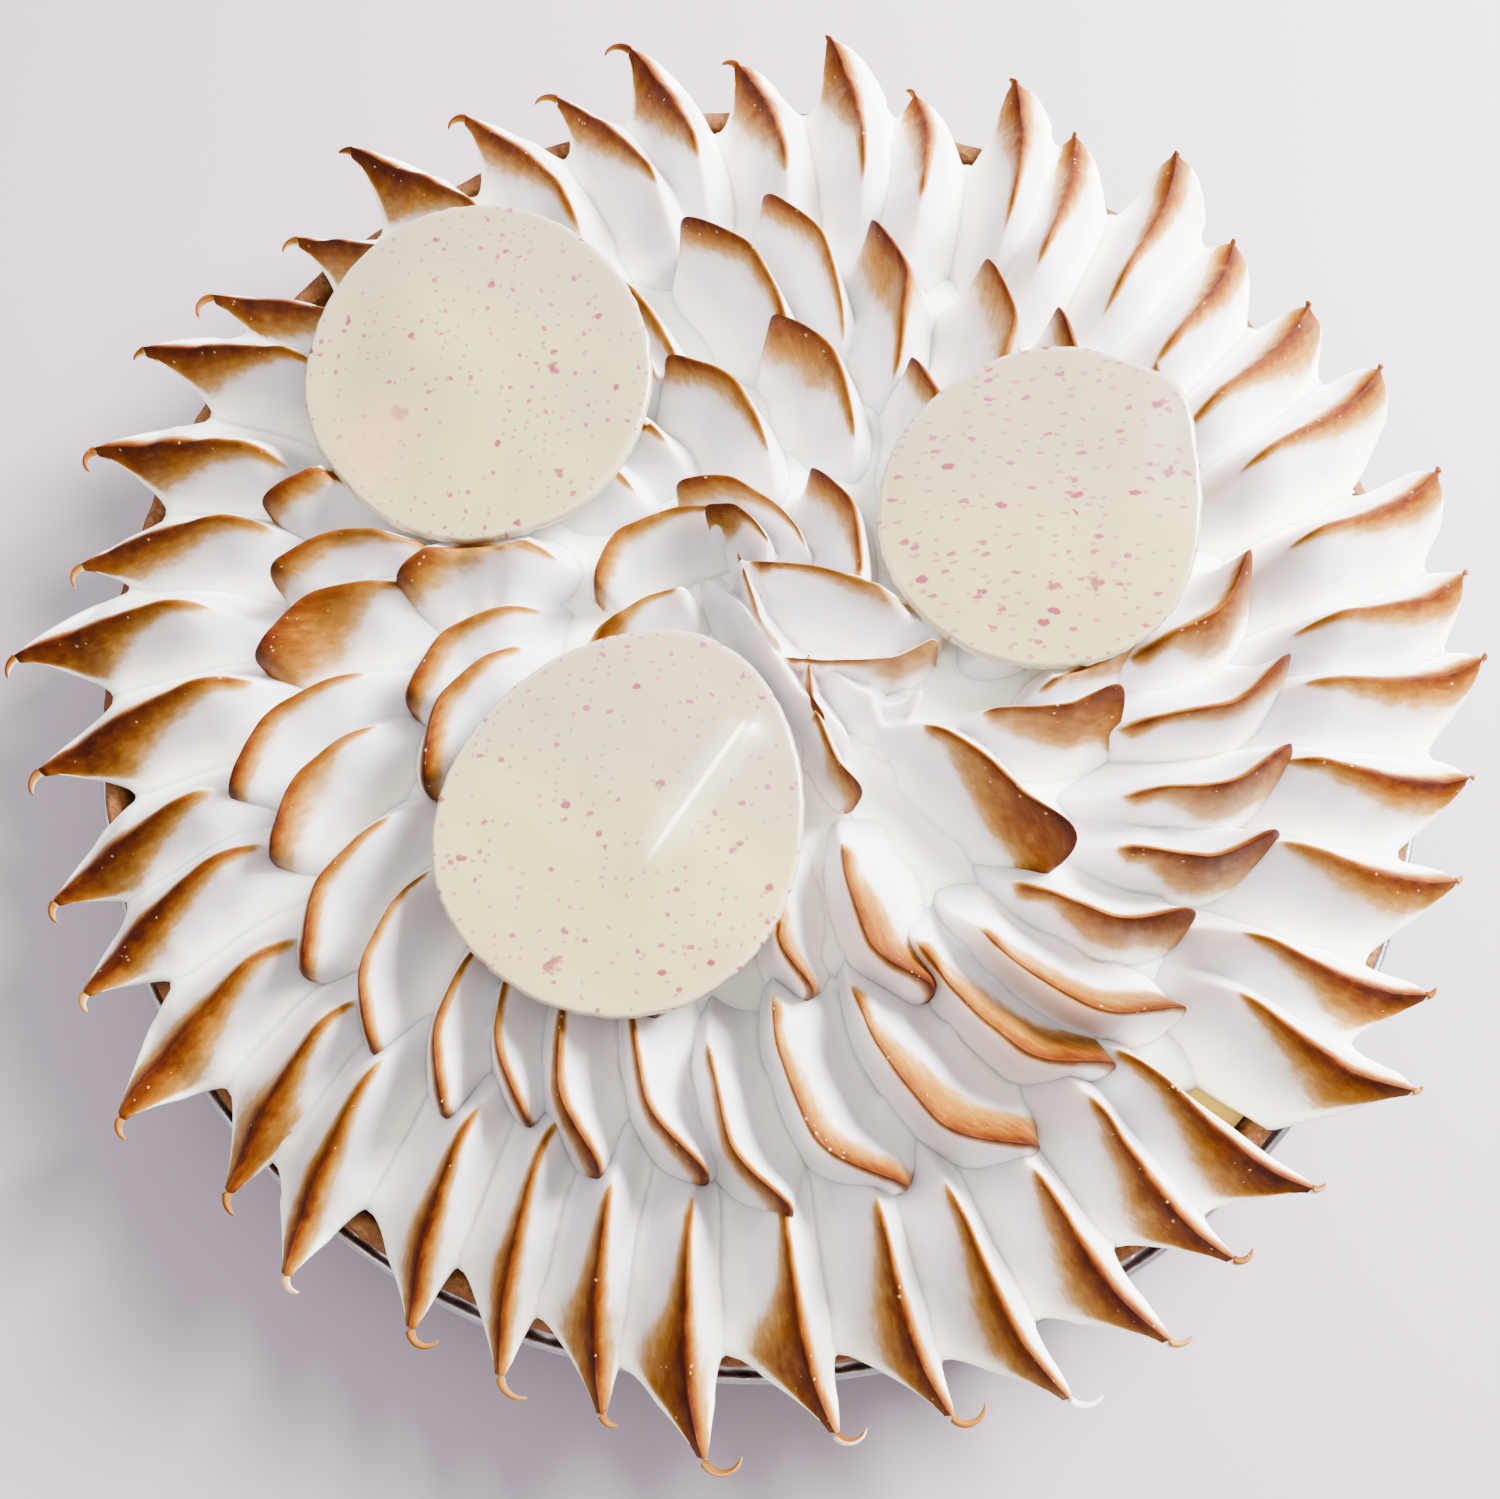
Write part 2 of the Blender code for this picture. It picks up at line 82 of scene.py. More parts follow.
# A ring: how many petals, the direction of the first, two waves that move the rest round (swing
# and twist), the reach of its tips, its shift along Y, a petal's sizes, how far it turns off the
# radius, its bow, where its ridge lies across it (crest), how uneven all that is, and the level of
# its foot. toasted: (direction, amount), and a 1 where a petal is broad, with one side toasted.
Ring = namedtuple("Ring", "count first swing swing_at twist reach shift length width height turn"
                          " turn_swing bow crest crest_swing drawn uneven_angle uneven_reach"
                          " uneven_turn foot seed toasted")
OUTER = Ring(count=42, first=94.0, swing=-1.5, swing_at=64, twist=1.6, reach=125 * MM,
             shift=-1.4 * MM, length=60 * MM, width=9.6 * MM, height=19.5 * MM, turn=5.2,
             turn_swing=4, bow=5, crest=0.10, crest_swing=0.34, drawn=True, uneven_angle=1.1,
             uneven_reach=3.6 * MM, uneven_turn=3, foot=28.6 * MM, seed=804851,
             toasted=((239, 0.9), (264, 0.8), (273, 0.9), (256, 0.45), (180, 0.8), (188, 0.65),
                      (224, 0.75), (197, 0.4), (216, 0.4), (130, 0.75), (139, 0.55), (146, 0.4),
                      (153, 0.5), (161, 0.5), (84, 0.35), (97, 0.25), (69, 0.3), (34, 0.35),
                      (328, 0.45), (311, 0.4), (306, 0.3)))
SECOND = Ring(count=32, first=97.9, swing=-6.0, swing_at=-12, twist=0.0, reach=87 * MM,
              shift=-4 * MM, length=44 * MM, width=9.4 * MM, height=16.8 * MM, turn=11,
              turn_swing=0, bow=12, crest=-0.55, crest_swing=0, drawn=False, uneven_angle=3.6,
              uneven_reach=4.5 * MM, uneven_turn=6, foot=32.8 * MM, seed=18710,
              toasted=((176, 0.9), (187, 0.6), (25, 0.85), (12, 0.8), (350, 0.75), (340, 0.85),
                       (330, 0.6), (73, 0.6), (62, 0.5), (319, 0.75, 1), (308, 0.9, 1),
                       (298, 0.8, 1), (288, 0.3, 1), (205, 0.4)))
THIRD = Ring(count=17, first=105.5, swing=5.0, swing_at=16, twist=0.0, reach=60 * MM,
             shift=-4 * MM, length=40 * MM, width=10.4 * MM, height=17 * MM, turn=15,
             turn_swing=0, bow=14, crest=-0.5, crest_swing=0, drawn=False, uneven_angle=5.0,
             uneven_reach=5 * MM, uneven_turn=9, foot=34.4 * MM, seed=30468,
             toasted=((83, 0.5), (2, 0.7), (296, 0.8), (275, 0.4), (165, 0.4)))

# Blunt petals that show one broad toasted side
BROAD_RISE = (0.0, 0.3)
BROAD_CREST = -0.8
BROAD_WIDER = 1.12
DRAWN_RISE = (0.18, 0.52)                                # t between which a ridge rises
BLUNT_RISE = (0.12, 0.52)
WIDEST_ROOM = 1.5                                        # that a petal fills; 1 is an even share
# The third ring gives way to the large middle petals from one direction on to the other.
GAP_FROM, GAP_TO = 270, 12

# Underside of the outer ring over the radius: in the curd, over the pastry's rim, up to the tips
UNDER_RADII = 107 * MM, 111.5 * MM, 118.5 * MM, 127.5 * MM
UNDER_LEVELS = UNDERSIDE, CRUST_HIGH + 0.3 * MM, CRUST_HIGH + 1.2 * MM, 35.0 * MM
# How far the outer ring's feet are raised, over the radius
FOOT_RADII = 107.5 * MM, 112 * MM, 118.5 * MM, 127.5 * MM
FOOT_RAISED = 0, 0.6 * MM, 1.2 * MM, 7.4 * MM
# The low dome under the petals over the radius from its own middle
DOME_RADII = np.array((0, 26, 44, 58, 72, 84, 88.5, 93)) * MM
DOME_LEVELS = np.array((38.2, 37.8, 36.2, 33.4, 31.4, 29.8, 28.6, 20)) * MM
BED_SHIFT = -3 * MM                                      # of the dome's middle along Y
FOOT_IN_DOME = 2.8 * MM                                  # how far a blunt petal's foot is in it
LOWEST_FOOT = 26.5 * MM
SWIRL_FOOT = 37.5 * MM

TIP_SWEEP = 1.8 * MM                                     # a drawn tip bends counter-clockwise
TIP_THREAD = 0.8 * MM                                    # half width that is left at a drawn tip

# A petal: place and heading of its middle, its sizes, bow as one over the radius of its bend, crest
# from -1 at its clockwise side to 1 at the other, skew of its two sides, browning, and how much
# of the ridge's browning is at its end (tip).
Petal = namedtuple("Petal", "x y heading length width height bow crest drawn foot angle skew"
                            " toast toasted_side rise tip")


def smooth(low, high, value):
    """0 below low, 1 above high, and an S curve between them."""
    share = np.clip((value - low) / (high - low), 0, 1)
    return share * share * (3 - 2 * share)


def place(petal, t, across):
    """Plan position at t along a gently bowed centre line, and across to its left."""
    along = (t - 0.5) * petal.length
    bend = 1 / petal.bow
    ahead = (bend - across) * np.sin(along / bend)
    left = bend - (bend - across) * np.cos(along / bend)
    turn = math.radians(petal.heading)
    return (petal.x + ahead * math.cos(turn) - left * math.sin(turn),
            petal.y + ahead * math.sin(turn) + left * math.cos(turn))


def find(petal, x, y):
    """The t and across of plan positions: place() solved for them."""
    turn = math.radians(petal.heading)
    from_x, from_y = x - petal.x, y - petal.y
    ahead = from_x * math.cos(turn) + from_y * math.sin(turn)
    left = from_y * math.cos(turn) - from_x * math.sin(turn)
    bend = 1 / petal.bow
    side = math.copysign(1, bend)
    across = bend - side * np.hypot(bend - left, ahead)
    along = bend * np.arctan2(side * ahead, side * (bend - left))
    return along / petal.length + 0.5, across


def leafiness(petal):
    """How much a drawn petal is a blunt leaf rather than a thorn: most towards the right and back."""
    return max(math.cos(math.radians(petal.heading - 35)), 0)


def edges(petal, t):
    """Across positions of the clockwise foot, the ridge and the counter-clockwise foot at t.

    A drawn petal narrows to its ridge line as a power of what is left of it: one side falls in
    sooner than the other, and both later on a leafy one. A blunt petal ends in half an oval, and
    its ridge bends round the end.
    """
    inner = petal.width * (0.6 + 0.4 * smooth(0, 0.4, t))
    inner = inner * np.sqrt(1 - np.clip((0.08 - t) / 0.08, 0, 1) ** 2) + 0.2 * MM
    if petal.drawn:
        inner = inner * (0.86 + 0.26 * t)
        taper = 1 - np.clip((t - 0.74) / 0.26, 0, 1)
        ridge = petal.crest * inner + TIP_SWEEP * (1 - taper) ** 2
        thread = TIP_THREAD * (1 - taper)
        sharp = 1.2 - 0.65 * leafiness(petal)
        right = inner * (1 + petal.crest) * taper ** (sharp + 0.35 * petal.skew) + thread
        left = inner * (1 - petal.crest) * taper ** (sharp - 0.35 * petal.skew) + thread
        return ridge - right, ridge, ridge + left
    half = inner * np.sqrt(1 - np.clip((t - 0.72) / 0.285, 0, 1) ** 2)
    ridge = half * (petal.crest + 0.72 * smooth(0.66, 1.0, t))
    return -half, ridge, half


def ridge_height(petal, t):
    """Height of the ridge over the foot: it rises from under the next ring, then runs out."""
    rise = 0.07 + 0.93 * smooth(*petal.rise, t)
    if petal.drawn:
        return petal.height * rise * (1 - 0.93 * np.clip((t - 0.42) / 0.58, 0, 1) ** 1.25)
    return petal.height * rise * (1 - np.clip((t - 0.84) / 0.16, 0, 1) ** 2.4) ** 0.55


def rounded(share):
    """share with its corner at the ridge rounded: 1 - share becomes a hyperbola."""
    corner = 0.035
    return 1 + corner - np.sqrt((1 - share) ** 2 + corner ** 2)


def flank(petal, share, clockwise):
    """Height share of a flank: hollow on the broad side, an S on the steep one."""
    up = rounded(share)
    hollow = np.sign(up) * np.abs(up) ** 1.35
    steep = 0.55 * up + 0.45 * np.sin(0.5 * math.pi * np.clip(up, 0, 1)) ** 2
    lean = np.clip(0.5 + (petal.crest if petal.drawn else petal.crest * 1.2) * 1.4, 0, 1)
    on_right = lean * hollow + (1 - lean) * steep
    on_left = (1 - lean) * hollow + lean * steep
    return np.where(clockwise, on_right, on_left)


def under_level(radius):
    """The underside: in the curd, clear of the pastry's rim, then up towards the tips."""
    return np.interp(radius, UNDER_RADII, UNDER_LEVELS)


def bed_level(x, y, radius=None):
    """Height of the meringue under the petals: a low dome that runs out under the outer ring."""
    radius = np.hypot(x, y - BED_SHIFT) if radius is None else radius
    return np.interp(radius, DOME_RADII, DOME_LEVELS)


def foot_and_rise(petal, t, x, y):
    """Level of a petal's foot, and how far its ridge stands over it.

    A drawn petal's foot is level inside, has a step over the pastry, then goes up to the tip. A
    blunt petal's foot lies just inside the dome.
    """
    tall = ridge_height(petal, t)
    if petal.drawn:
        return petal.foot + np.interp(np.hypot(x, y), FOOT_RADII, FOOT_RAISED), tall
    foot = np.clip(bed_level(x, y) - FOOT_IN_DOME, LOWEST_FOOT, petal.foot)
    return foot, tall + (petal.foot - foot) * smooth(0, 0.4, tall / petal.height)


def height_at(petal, x, y):
    """A petal's own top at plan positions; outside its foot it slopes on down and away."""
    t, across = find(petal, x, y)
    inside = np.clip(t, 0.01, 0.995)
    right, ridge, left = edges(petal, inside)
    clockwise = across < ridge
    width = np.where(clockwise, ridge - right, left - ridge)
    share = 1 - np.abs(across - ridge) / width
    foot, tall = foot_and_rise(petal, inside, x, y)
    up = np.where(share > 0, flank(petal, share, clockwise), 0.6 * share)
    beyond = np.maximum(np.abs(t - 0.5) - 0.5, 0) * petal.length
    return foot + np.maximum(tall, 3 * MM) * up - 2 * beyond


def ring_petals(ring):
    """The petals of one ring: evenly spaced, a slow drift round it and a small uneven draw."""
    draw = np.random.default_rng(ring.seed).uniform(-1, 1, (ring.count, 6))
    even = ring.first - 360 * np.arange(ring.count) / ring.count
    drift = even + ring.swing * np.cos(np.radians(even - ring.swing_at))
    angles = drift + ring.twist * np.sin(np.radians(2 * drift)) + ring.uneven_angle * draw[:, 0]
    room = (np.roll(angles, 1) - np.roll(angles, -1)) % 360 * ring.count / 720
    petals = []
    for index, angle in enumerate(angles):
        reach = ring.reach + ring.uneven_reach * draw[index, 1]
        length = ring.length * (1 + 0.05 * draw[index, 2])
        sway = math.sin(math.radians(angle))
        heading = angle + ring.turn + ring.turn_swing * sway + ring.uneven_turn * draw[index, 3]
        width = ring.width * (0.35 + 0.65 * min(room[index], WIDEST_ROOM))
        height = ring.height * (1 + 0.07 * draw[index, 4])
        skew = math.cos(math.radians(angle + 50))
        crest = ring.crest + ring.crest_swing * skew + 0.12 * draw[index, 5]
        near = 180 / ring.count
        marks = [mark for mark in ring.toasted if abs((angle - mark[0] + 180) % 360 - 180) < near]
        toast = max([mark[1] for mark in marks], default=0.0)
        side = max([mark[2] for mark in marks if len(mark) > 2], default=0)
        rise = DRAWN_RISE if ring.drawn else BLUNT_RISE
        if side:
            crest, width, rise = BROAD_CREST, BROAD_WIDER * width, BROAD_RISE
        petal = Petal(0, 0, heading, length, width, height, ring.bow, crest, ring.drawn,
                      ring.foot, angle, skew, toast, side, rise, 0.4)
        end_x, end_y = place(petal, 1.0, 1.12 * crest * width + TIP_SWEEP if ring.drawn else 0.0)
        petals.append(petal._replace(x=reach * math.cos(math.radians(angle)) - end_x,
                                     y=reach * math.sin(math.radians(angle)) + ring.shift - end_y))
    return petals


def swirl_petal(x, y, heading, length, width, height, bow, crest, toast, side=0,
                rise=(0.0, 0.35), tip=0.4):
    """A blunt petal of the middle, from its place and sizes in millimetres."""
    return Petal(x * MM, y * MM, heading, length * MM, width * MM, height * MM, bow, crest,
                 False, SWIRL_FOOT, heading, 0.0, toast, side, rise, tip)


# The middle: place, heading, length, half width, height, bow, ridge and toasting (-1 for none).
SWIRL = [
    swirl_petal(-2, 19, 145, 27, 7.5, 14.5, 12, -0.65, 0.2, rise=(0.0, 0.2)),
    swirl_petal(13, 14, 96, 30, 8.0, 14.5, 14, -0.55, 0.2, rise=(0.0, 0.3)),
    swirl_petal(-16.3, 13.6, 203, 26, 7.5, 15.5, 20, -0.65, 0.05, rise=(0.0, 0.1), tip=0.1),
    swirl_petal(-19, -2, 214, 26, 7.5, 14.5, 10, -0.65, 0.5, rise=(0.0, 0.15)),
    swirl_petal(12.8, 2.6, -18, 37, 7.5, 15.5, -5, 0.75, 0.15, rise=(-0.1, 0.05), tip=0),
    swirl_petal(17.2, -6.6, 4, 27, 3.6, 13.5, 20, 0.1, 0.4, rise=(-0.1, 0.05), tip=0),
    swirl_petal(-0.5, 4, -72, 20, 3.2, 14.5, 4, 0.1, 0.1, rise=(0.0, 0.1), tip=0),
    swirl_petal(2, -4, -58, 44, 7.0, 13.5, -4, -0.1, -1),
    swirl_petal(18, -11, -25, 17, 7.0, 11, 20, -0.2, -1, rise=(-0.2, 0.0)),
    swirl_petal(8.6, -11, -86, 11, 3.4, 13, 5, 0.0, 0.9, rise=(-0.4, 0.0)),
    swirl_petal(10.5, -20.8, -68, 20, 4.2, 13.8, 8, 0.4, 0.3),
    swirl_petal(-3, -26, -100, 30, 9.0, 12.5, 10, -0.3, 0.0),
    swirl_petal(-25, -18, 200, 30, 9.0, 13, 16, -0.4, 0.0),
    swirl_petal(-2.2, 16.3, 138, 12.5, 5.2, 18.3, 36, -0.25, 0.6, rise=(-0.4, 0.0)),
    swirl_petal(44, -18.5, 3, 34, 7.2, 15, 6, 0.5, 0.95, side=-1),
    swirl_petal(34.4, -26.8, -43, 36, 9.5, 15.5, -22, 0.45, 1.0, side=-1, rise=(-0.1, 0.3)),
    swirl_petal(21, -45, -72, 34, 9.6, 14.5, 8, -0.7, 0.8, side=1, rise=(0.0, 0.3)),
    swirl_petal(6, -47, -88, 28, 7.0, 14, 10, -0.5, 0.35, side=1, rise=(0.0, 0.3)),
    swirl_petal(53.5, -8, 28, 26, 6.0, 14, -6, 0.3, 0.7, side=-1),
]

OUTER_PETALS = ring_petals(OUTER)
SECOND_PETALS = ring_petals(SECOND)
THIRD_PETALS = [petal for petal in ring_petals(THIRD)
                if (petal.angle - GAP_TO) % 360 <= GAP_FROM - GAP_TO]
ALL_PETALS = OUTER_PETALS + SECOND_PETALS + THIRD_PETALS + SWIRL

# --------------------------------------------------------------------------- white chocolate ovals

Oval = namedtuple("Oval", "name x y z half_width half_length egg turn tilt_x tilt_y bumps seed")
# bumps push the outline in or out: (angle on the oval, spread in degrees, share of the radius).
OVALS = (
    Oval("chocolate_oval_1", -48.8 * MM, 47.2 * MM, 47.6 * MM, 30.3 * MM, 31.3 * MM, 0.06, 10, 4, -3,
         ((215, 22, -0.035), (300, 18, 0.015)), 3),
    Oval("chocolate_oval_2", 48.2 * MM, 21 * MM, 49.0 * MM, 27.4 * MM, 28.7 * MM, 0.05, -20, 3, -4,
         ((58, 15, 0.095), (12, 30, -0.06), (140, 25, -0.02)), 7),
    Oval("chocolate_oval_3", -20.6 * MM, -32.3 * MM, 50.0 * MM, 28.5 * MM, 32.5 * MM, 0.12, -22, -3, 2,
         ((120, 25, -0.02), (300, 30, 0.01)), 11),
)
# An oval's berries: how many, how far they are drawn out, larger pieces and a stain, in mm from
# its middle as (x, y, size).
Berries = namedtuple("Berries", "amount smear pieces stain")
BERRIES = (
    Berries(0.25, 0.1, ((-11, -7, 1.6), (15.5, 0.5, 1.1), (17, -18, 1.1)), (-15, -13, 12)),
    Berries(1.0, 1.0, ((9, -13, 1.5), (2, -13.5, 1.2), (22, 6, 1.0)), None),
    Berries(0.35, 0.3, ((7, 5.5, 1.0), (19, -4, 1.1), (-9, -23, 1.6)), None),
)
OVAL_CROWN = 1.2 * MM
OVAL_THICK = 2.2                                         # mm
OVAL_CLEAR = 0.25 * MM                                   # between an oval and the meringue
RAGGED = 0.0016                                          # of an outline, as a share of its radius
SWOLLEN, FOLDED = OVALS[0], OVALS[2]
CREASE = (18.3, 14.0), (4.6, -7.0)                       # from the folded oval's middle, mm
PIT, PIT_RADIUS, PIT_DEPTH = (22.6 * MM, -11.8 * MM), 4.2 * MM, 3.6 * MM


def oval_reach(oval, angle):
    """Outline of an oval as a share of its plain one: low bumps and a faint ragged edge."""
    reach = np.ones_like(angle)
    degrees = np.degrees(angle) % 360
    for at, spread, amount in oval.bumps:
        off = (degrees - at + 180) % 360 - 180
        reach = reach + amount * np.exp(-(off / spread) ** 2)
    draw = np.random.default_rng(oval.seed)
    for wave in range(3, 40, 3):
        reach = reach + RAGGED * (6 / (wave + 3)) * np.sin(wave * angle + draw.uniform(0, 6.28))
    return reach


def oval_point(oval, share, angle, level):
    """Position at a share of the way out and an angle, at a level over the underside's rim."""
    reach = oval_reach(oval, angle) * share
    x = reach * oval.half_width * (1 - oval.egg * np.sin(angle)) * np.cos(angle)
    y = reach * oval.half_length * np.sin(angle)
    turn = math.radians(oval.turn)
    ahead = x * math.cos(turn) - y * math.sin(turn)
    left = x * math.sin(turn) + y * math.cos(turn)
    rise = (left * math.tan(math.radians(oval.tilt_x))
            - ahead * math.tan(math.radians(oval.tilt_y)))
    z = oval.z + level + OVAL_CROWN * (1 - share * share) + rise
    return np.stack([oval.x + ahead, oval.y + left, z], -1)


def press_under_ovals(points):
    """Meringue under an oval is pressed below it, and may rise steeply again outside its edge.

    A burst bubble leaves a small pit beside the middle.
    """
    pit = np.hypot((points[..., 0] - PIT[0]) / 0.85, points[..., 1] - PIT[1]) / PIT_RADIUS
    points[..., 2] -= PIT_DEPTH * (1 - smooth(0.7, 1.15, pit)) * (points[..., 2] > 33 * MM)
    for oval in OVALS:
        turn = math.radians(oval.turn)
        from_x, from_y = points[..., 0] - oval.x, points[..., 1] - oval.y
        x = from_x * math.cos(turn) + from_y * math.sin(turn)
        y = from_y * math.cos(turn) - from_x * math.sin(turn)
        angle = np.arctan2(y / oval.half_length, x / oval.half_width)
        rim = oval_point(oval, 1.0, angle, 0.0)
        share = np.hypot(from_x, from_y) / np.hypot(rim[..., 0] - oval.x, rim[..., 1] - oval.y)
        rise = (from_y * math.tan(math.radians(oval.tilt_x))
                - from_x * math.tan(math.radians(oval.tilt_y)))
        crown = OVAL_CROWN * (1 - np.clip(share, 0, 1) ** 2)
        outside = np.maximum((share - 1) * oval.half_width - 0.4 * MM, 0)
        limit = oval.z + rise + crown - OVAL_CLEAR + 2.2 * outside
        points[..., 2] = np.where(points[..., 2] > limit, limit, points[..., 2])
    return points


# --------------------------------------------------------------------------- meshes from arrays

def grid_faces(rows, columns):
    """Quads of a rows x columns grid of points, closed across the columns."""
    row, column = np.meshgrid(np.arange(rows - 1), np.arange(columns), indexing="ij")
    after = (column + 1) % columns
    quads = np.stack([row * columns + column, row * columns + after,
                      (row + 1) * columns + after, (row + 1) * columns + column], -1)
    return quads.reshape(-1, 4)


def fan_faces(start, columns, pole, turned):
    """Triangles from one row's points to a pole."""
    column = np.arange(columns)
    after = (column + 1) % columns
    first, second = (after, column) if turned else (column, after)
    return np.stack([start + first, start + second, np.full(columns, pole)], -1)


def capped(rows):
    """Points, quads and triangles of closed rows of points, with a pole in the middle of each end."""
    columns = rows.shape[1]
    count = len(rows) * columns
    triangles = np.concatenate([fan_faces(0, columns, count, True),
                                fan_faces(count - columns, columns, count + 1, False)])
    points = np.concatenate([rows.reshape(-1, 3), rows[:1].mean(1), rows[-1:].mean(1)])
    return points, grid_faces(len(rows), columns), triangles


def make_mesh(name, points, quads, triangles, attributes=None, uv=None):
    """A mesh from arrays, with an attribute of one value a point and a place on a plane each."""
    mesh = bpy.data.meshes.new(name)
    faces = [tuple(face) for face in quads.tolist() + triangles.tolist()]
    mesh.from_pydata(points.tolist(), [], faces)
    for label, values in (attributes or {}).items():
        layer = mesh.attributes.new(label, "FLOAT", "POINT")
        layer.data.foreach_set("value", values.astype(np.float32).ravel())
    if uv is not None:
        corner = np.zeros(len(mesh.loops), np.int32)
        mesh.loops.foreach_get("vertex_index", corner)
        layer = mesh.uv_layers.new(name="UVMap")
        layer.data.foreach_set("uv", uv[corner].astype(np.float32).ravel())
    mesh.shade_smooth()
    return mesh


def stand_for(item, node):
    """The piece rides on the part's body and stands for a node."""
    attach(item, BODY)
    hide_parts(node)


def make_piece(name, rows, material, node, attributes=None):
    """One closed piece from rows of points, at the origin, in place of a node."""
    mesh = make_mesh(name, *capped(rows), attributes)
    mesh.materials.append(material)
    item = bpy.data.objects.new(name, mesh)
    bpy.context.scene.collection.objects.link(item)
    stand_for(item, node)


# --------------------------------------------------------------------------- meringue: the surfaces

# Where the columns of a flank lie, from the ridge down, as shares of the flank
DOWN = np.array([0, 0.018, 0.045, 0.085, 0.14, 0.21, 0.29, 0.38, 0.48, 0.58, 0.68, 0.78, 0.87,
                 0.94, 1.0])
TOP_SIDE = np.concatenate([-DOWN[::-1], DOWN[1:]])       # -1 at the clockwise foot, 1 at the other
UNDER = np.array([0.9, 0.5, 0.0, -0.5, -0.9])            # columns of the underside
FILLET = 7.0 * MM                                        # height over which valleys are rounded
SOFTEN_ROUNDS = 10                                       # of smoothing in the valleys
UNEVEN = 0.35 * MM                                       # of the spooned surface
RIDGE_LEAN = 0.9 * MM
END_LEAN = 1.8 * MM                                      # of a blunt end over the ring outside it
HOOK_END = 0.24 * MM                                     # half width at the end of a hook
FLAME = (-0.5, -0.87)                                    # plan direction the flame came from
FLAMED_SKIN = 0.52                                       # browning of the most toasted side


def petal_rows(petal, body, hook):
    """t of every row, closer together towards the end; those over 1 belong to a drawn tip's hook."""
    even = np.linspace(0, 1, body)
    if petal.drawn:
        return np.concatenate([even ** 0.85, 1 + np.arange(1, hook + 1) / hook])
    return 0.005 + 0.99 * (1 - (1 - even) ** 1.5)


def wander(x, y, seed, size, octaves=3):
    """A soft uneven value of about -1 to 1 over the plan: a sum of waves in drawn directions."""
    draw = np.random.default_rng(seed)
    total = np.zeros_like(x)
    for step in range(octaves * 3):
        turn, shift = draw.uniform(0, math.tau, 2)
        octave = 1 + step // 3
        wave = size * draw.uniform(0.6, 1.4) / octave
        along = x * math.cos(turn) + y * math.sin(turn)
        total += np.sin(along * math.tau / wave + shift) / octave
    return total / 3


def run_together(z, others):
    """A surface near its neighbours' level meets them in a rounded valley, and goes on behind them.

    It is lifted by the square of how near they are. Gives its new level and that nearness, 0 to 1.
    """
    close = np.maximum(FILLET - np.abs(z - others), 0) / FILLET
    lift = FILLET / 4 * close ** 2
    behind = np.maximum(others - z, 0)
    sunk = others + lift - behind * (0.25 + 0.75 * smooth(0.25, 1, behind / FILLET))
    return np.where(behind > 0, sunk, z + lift), close


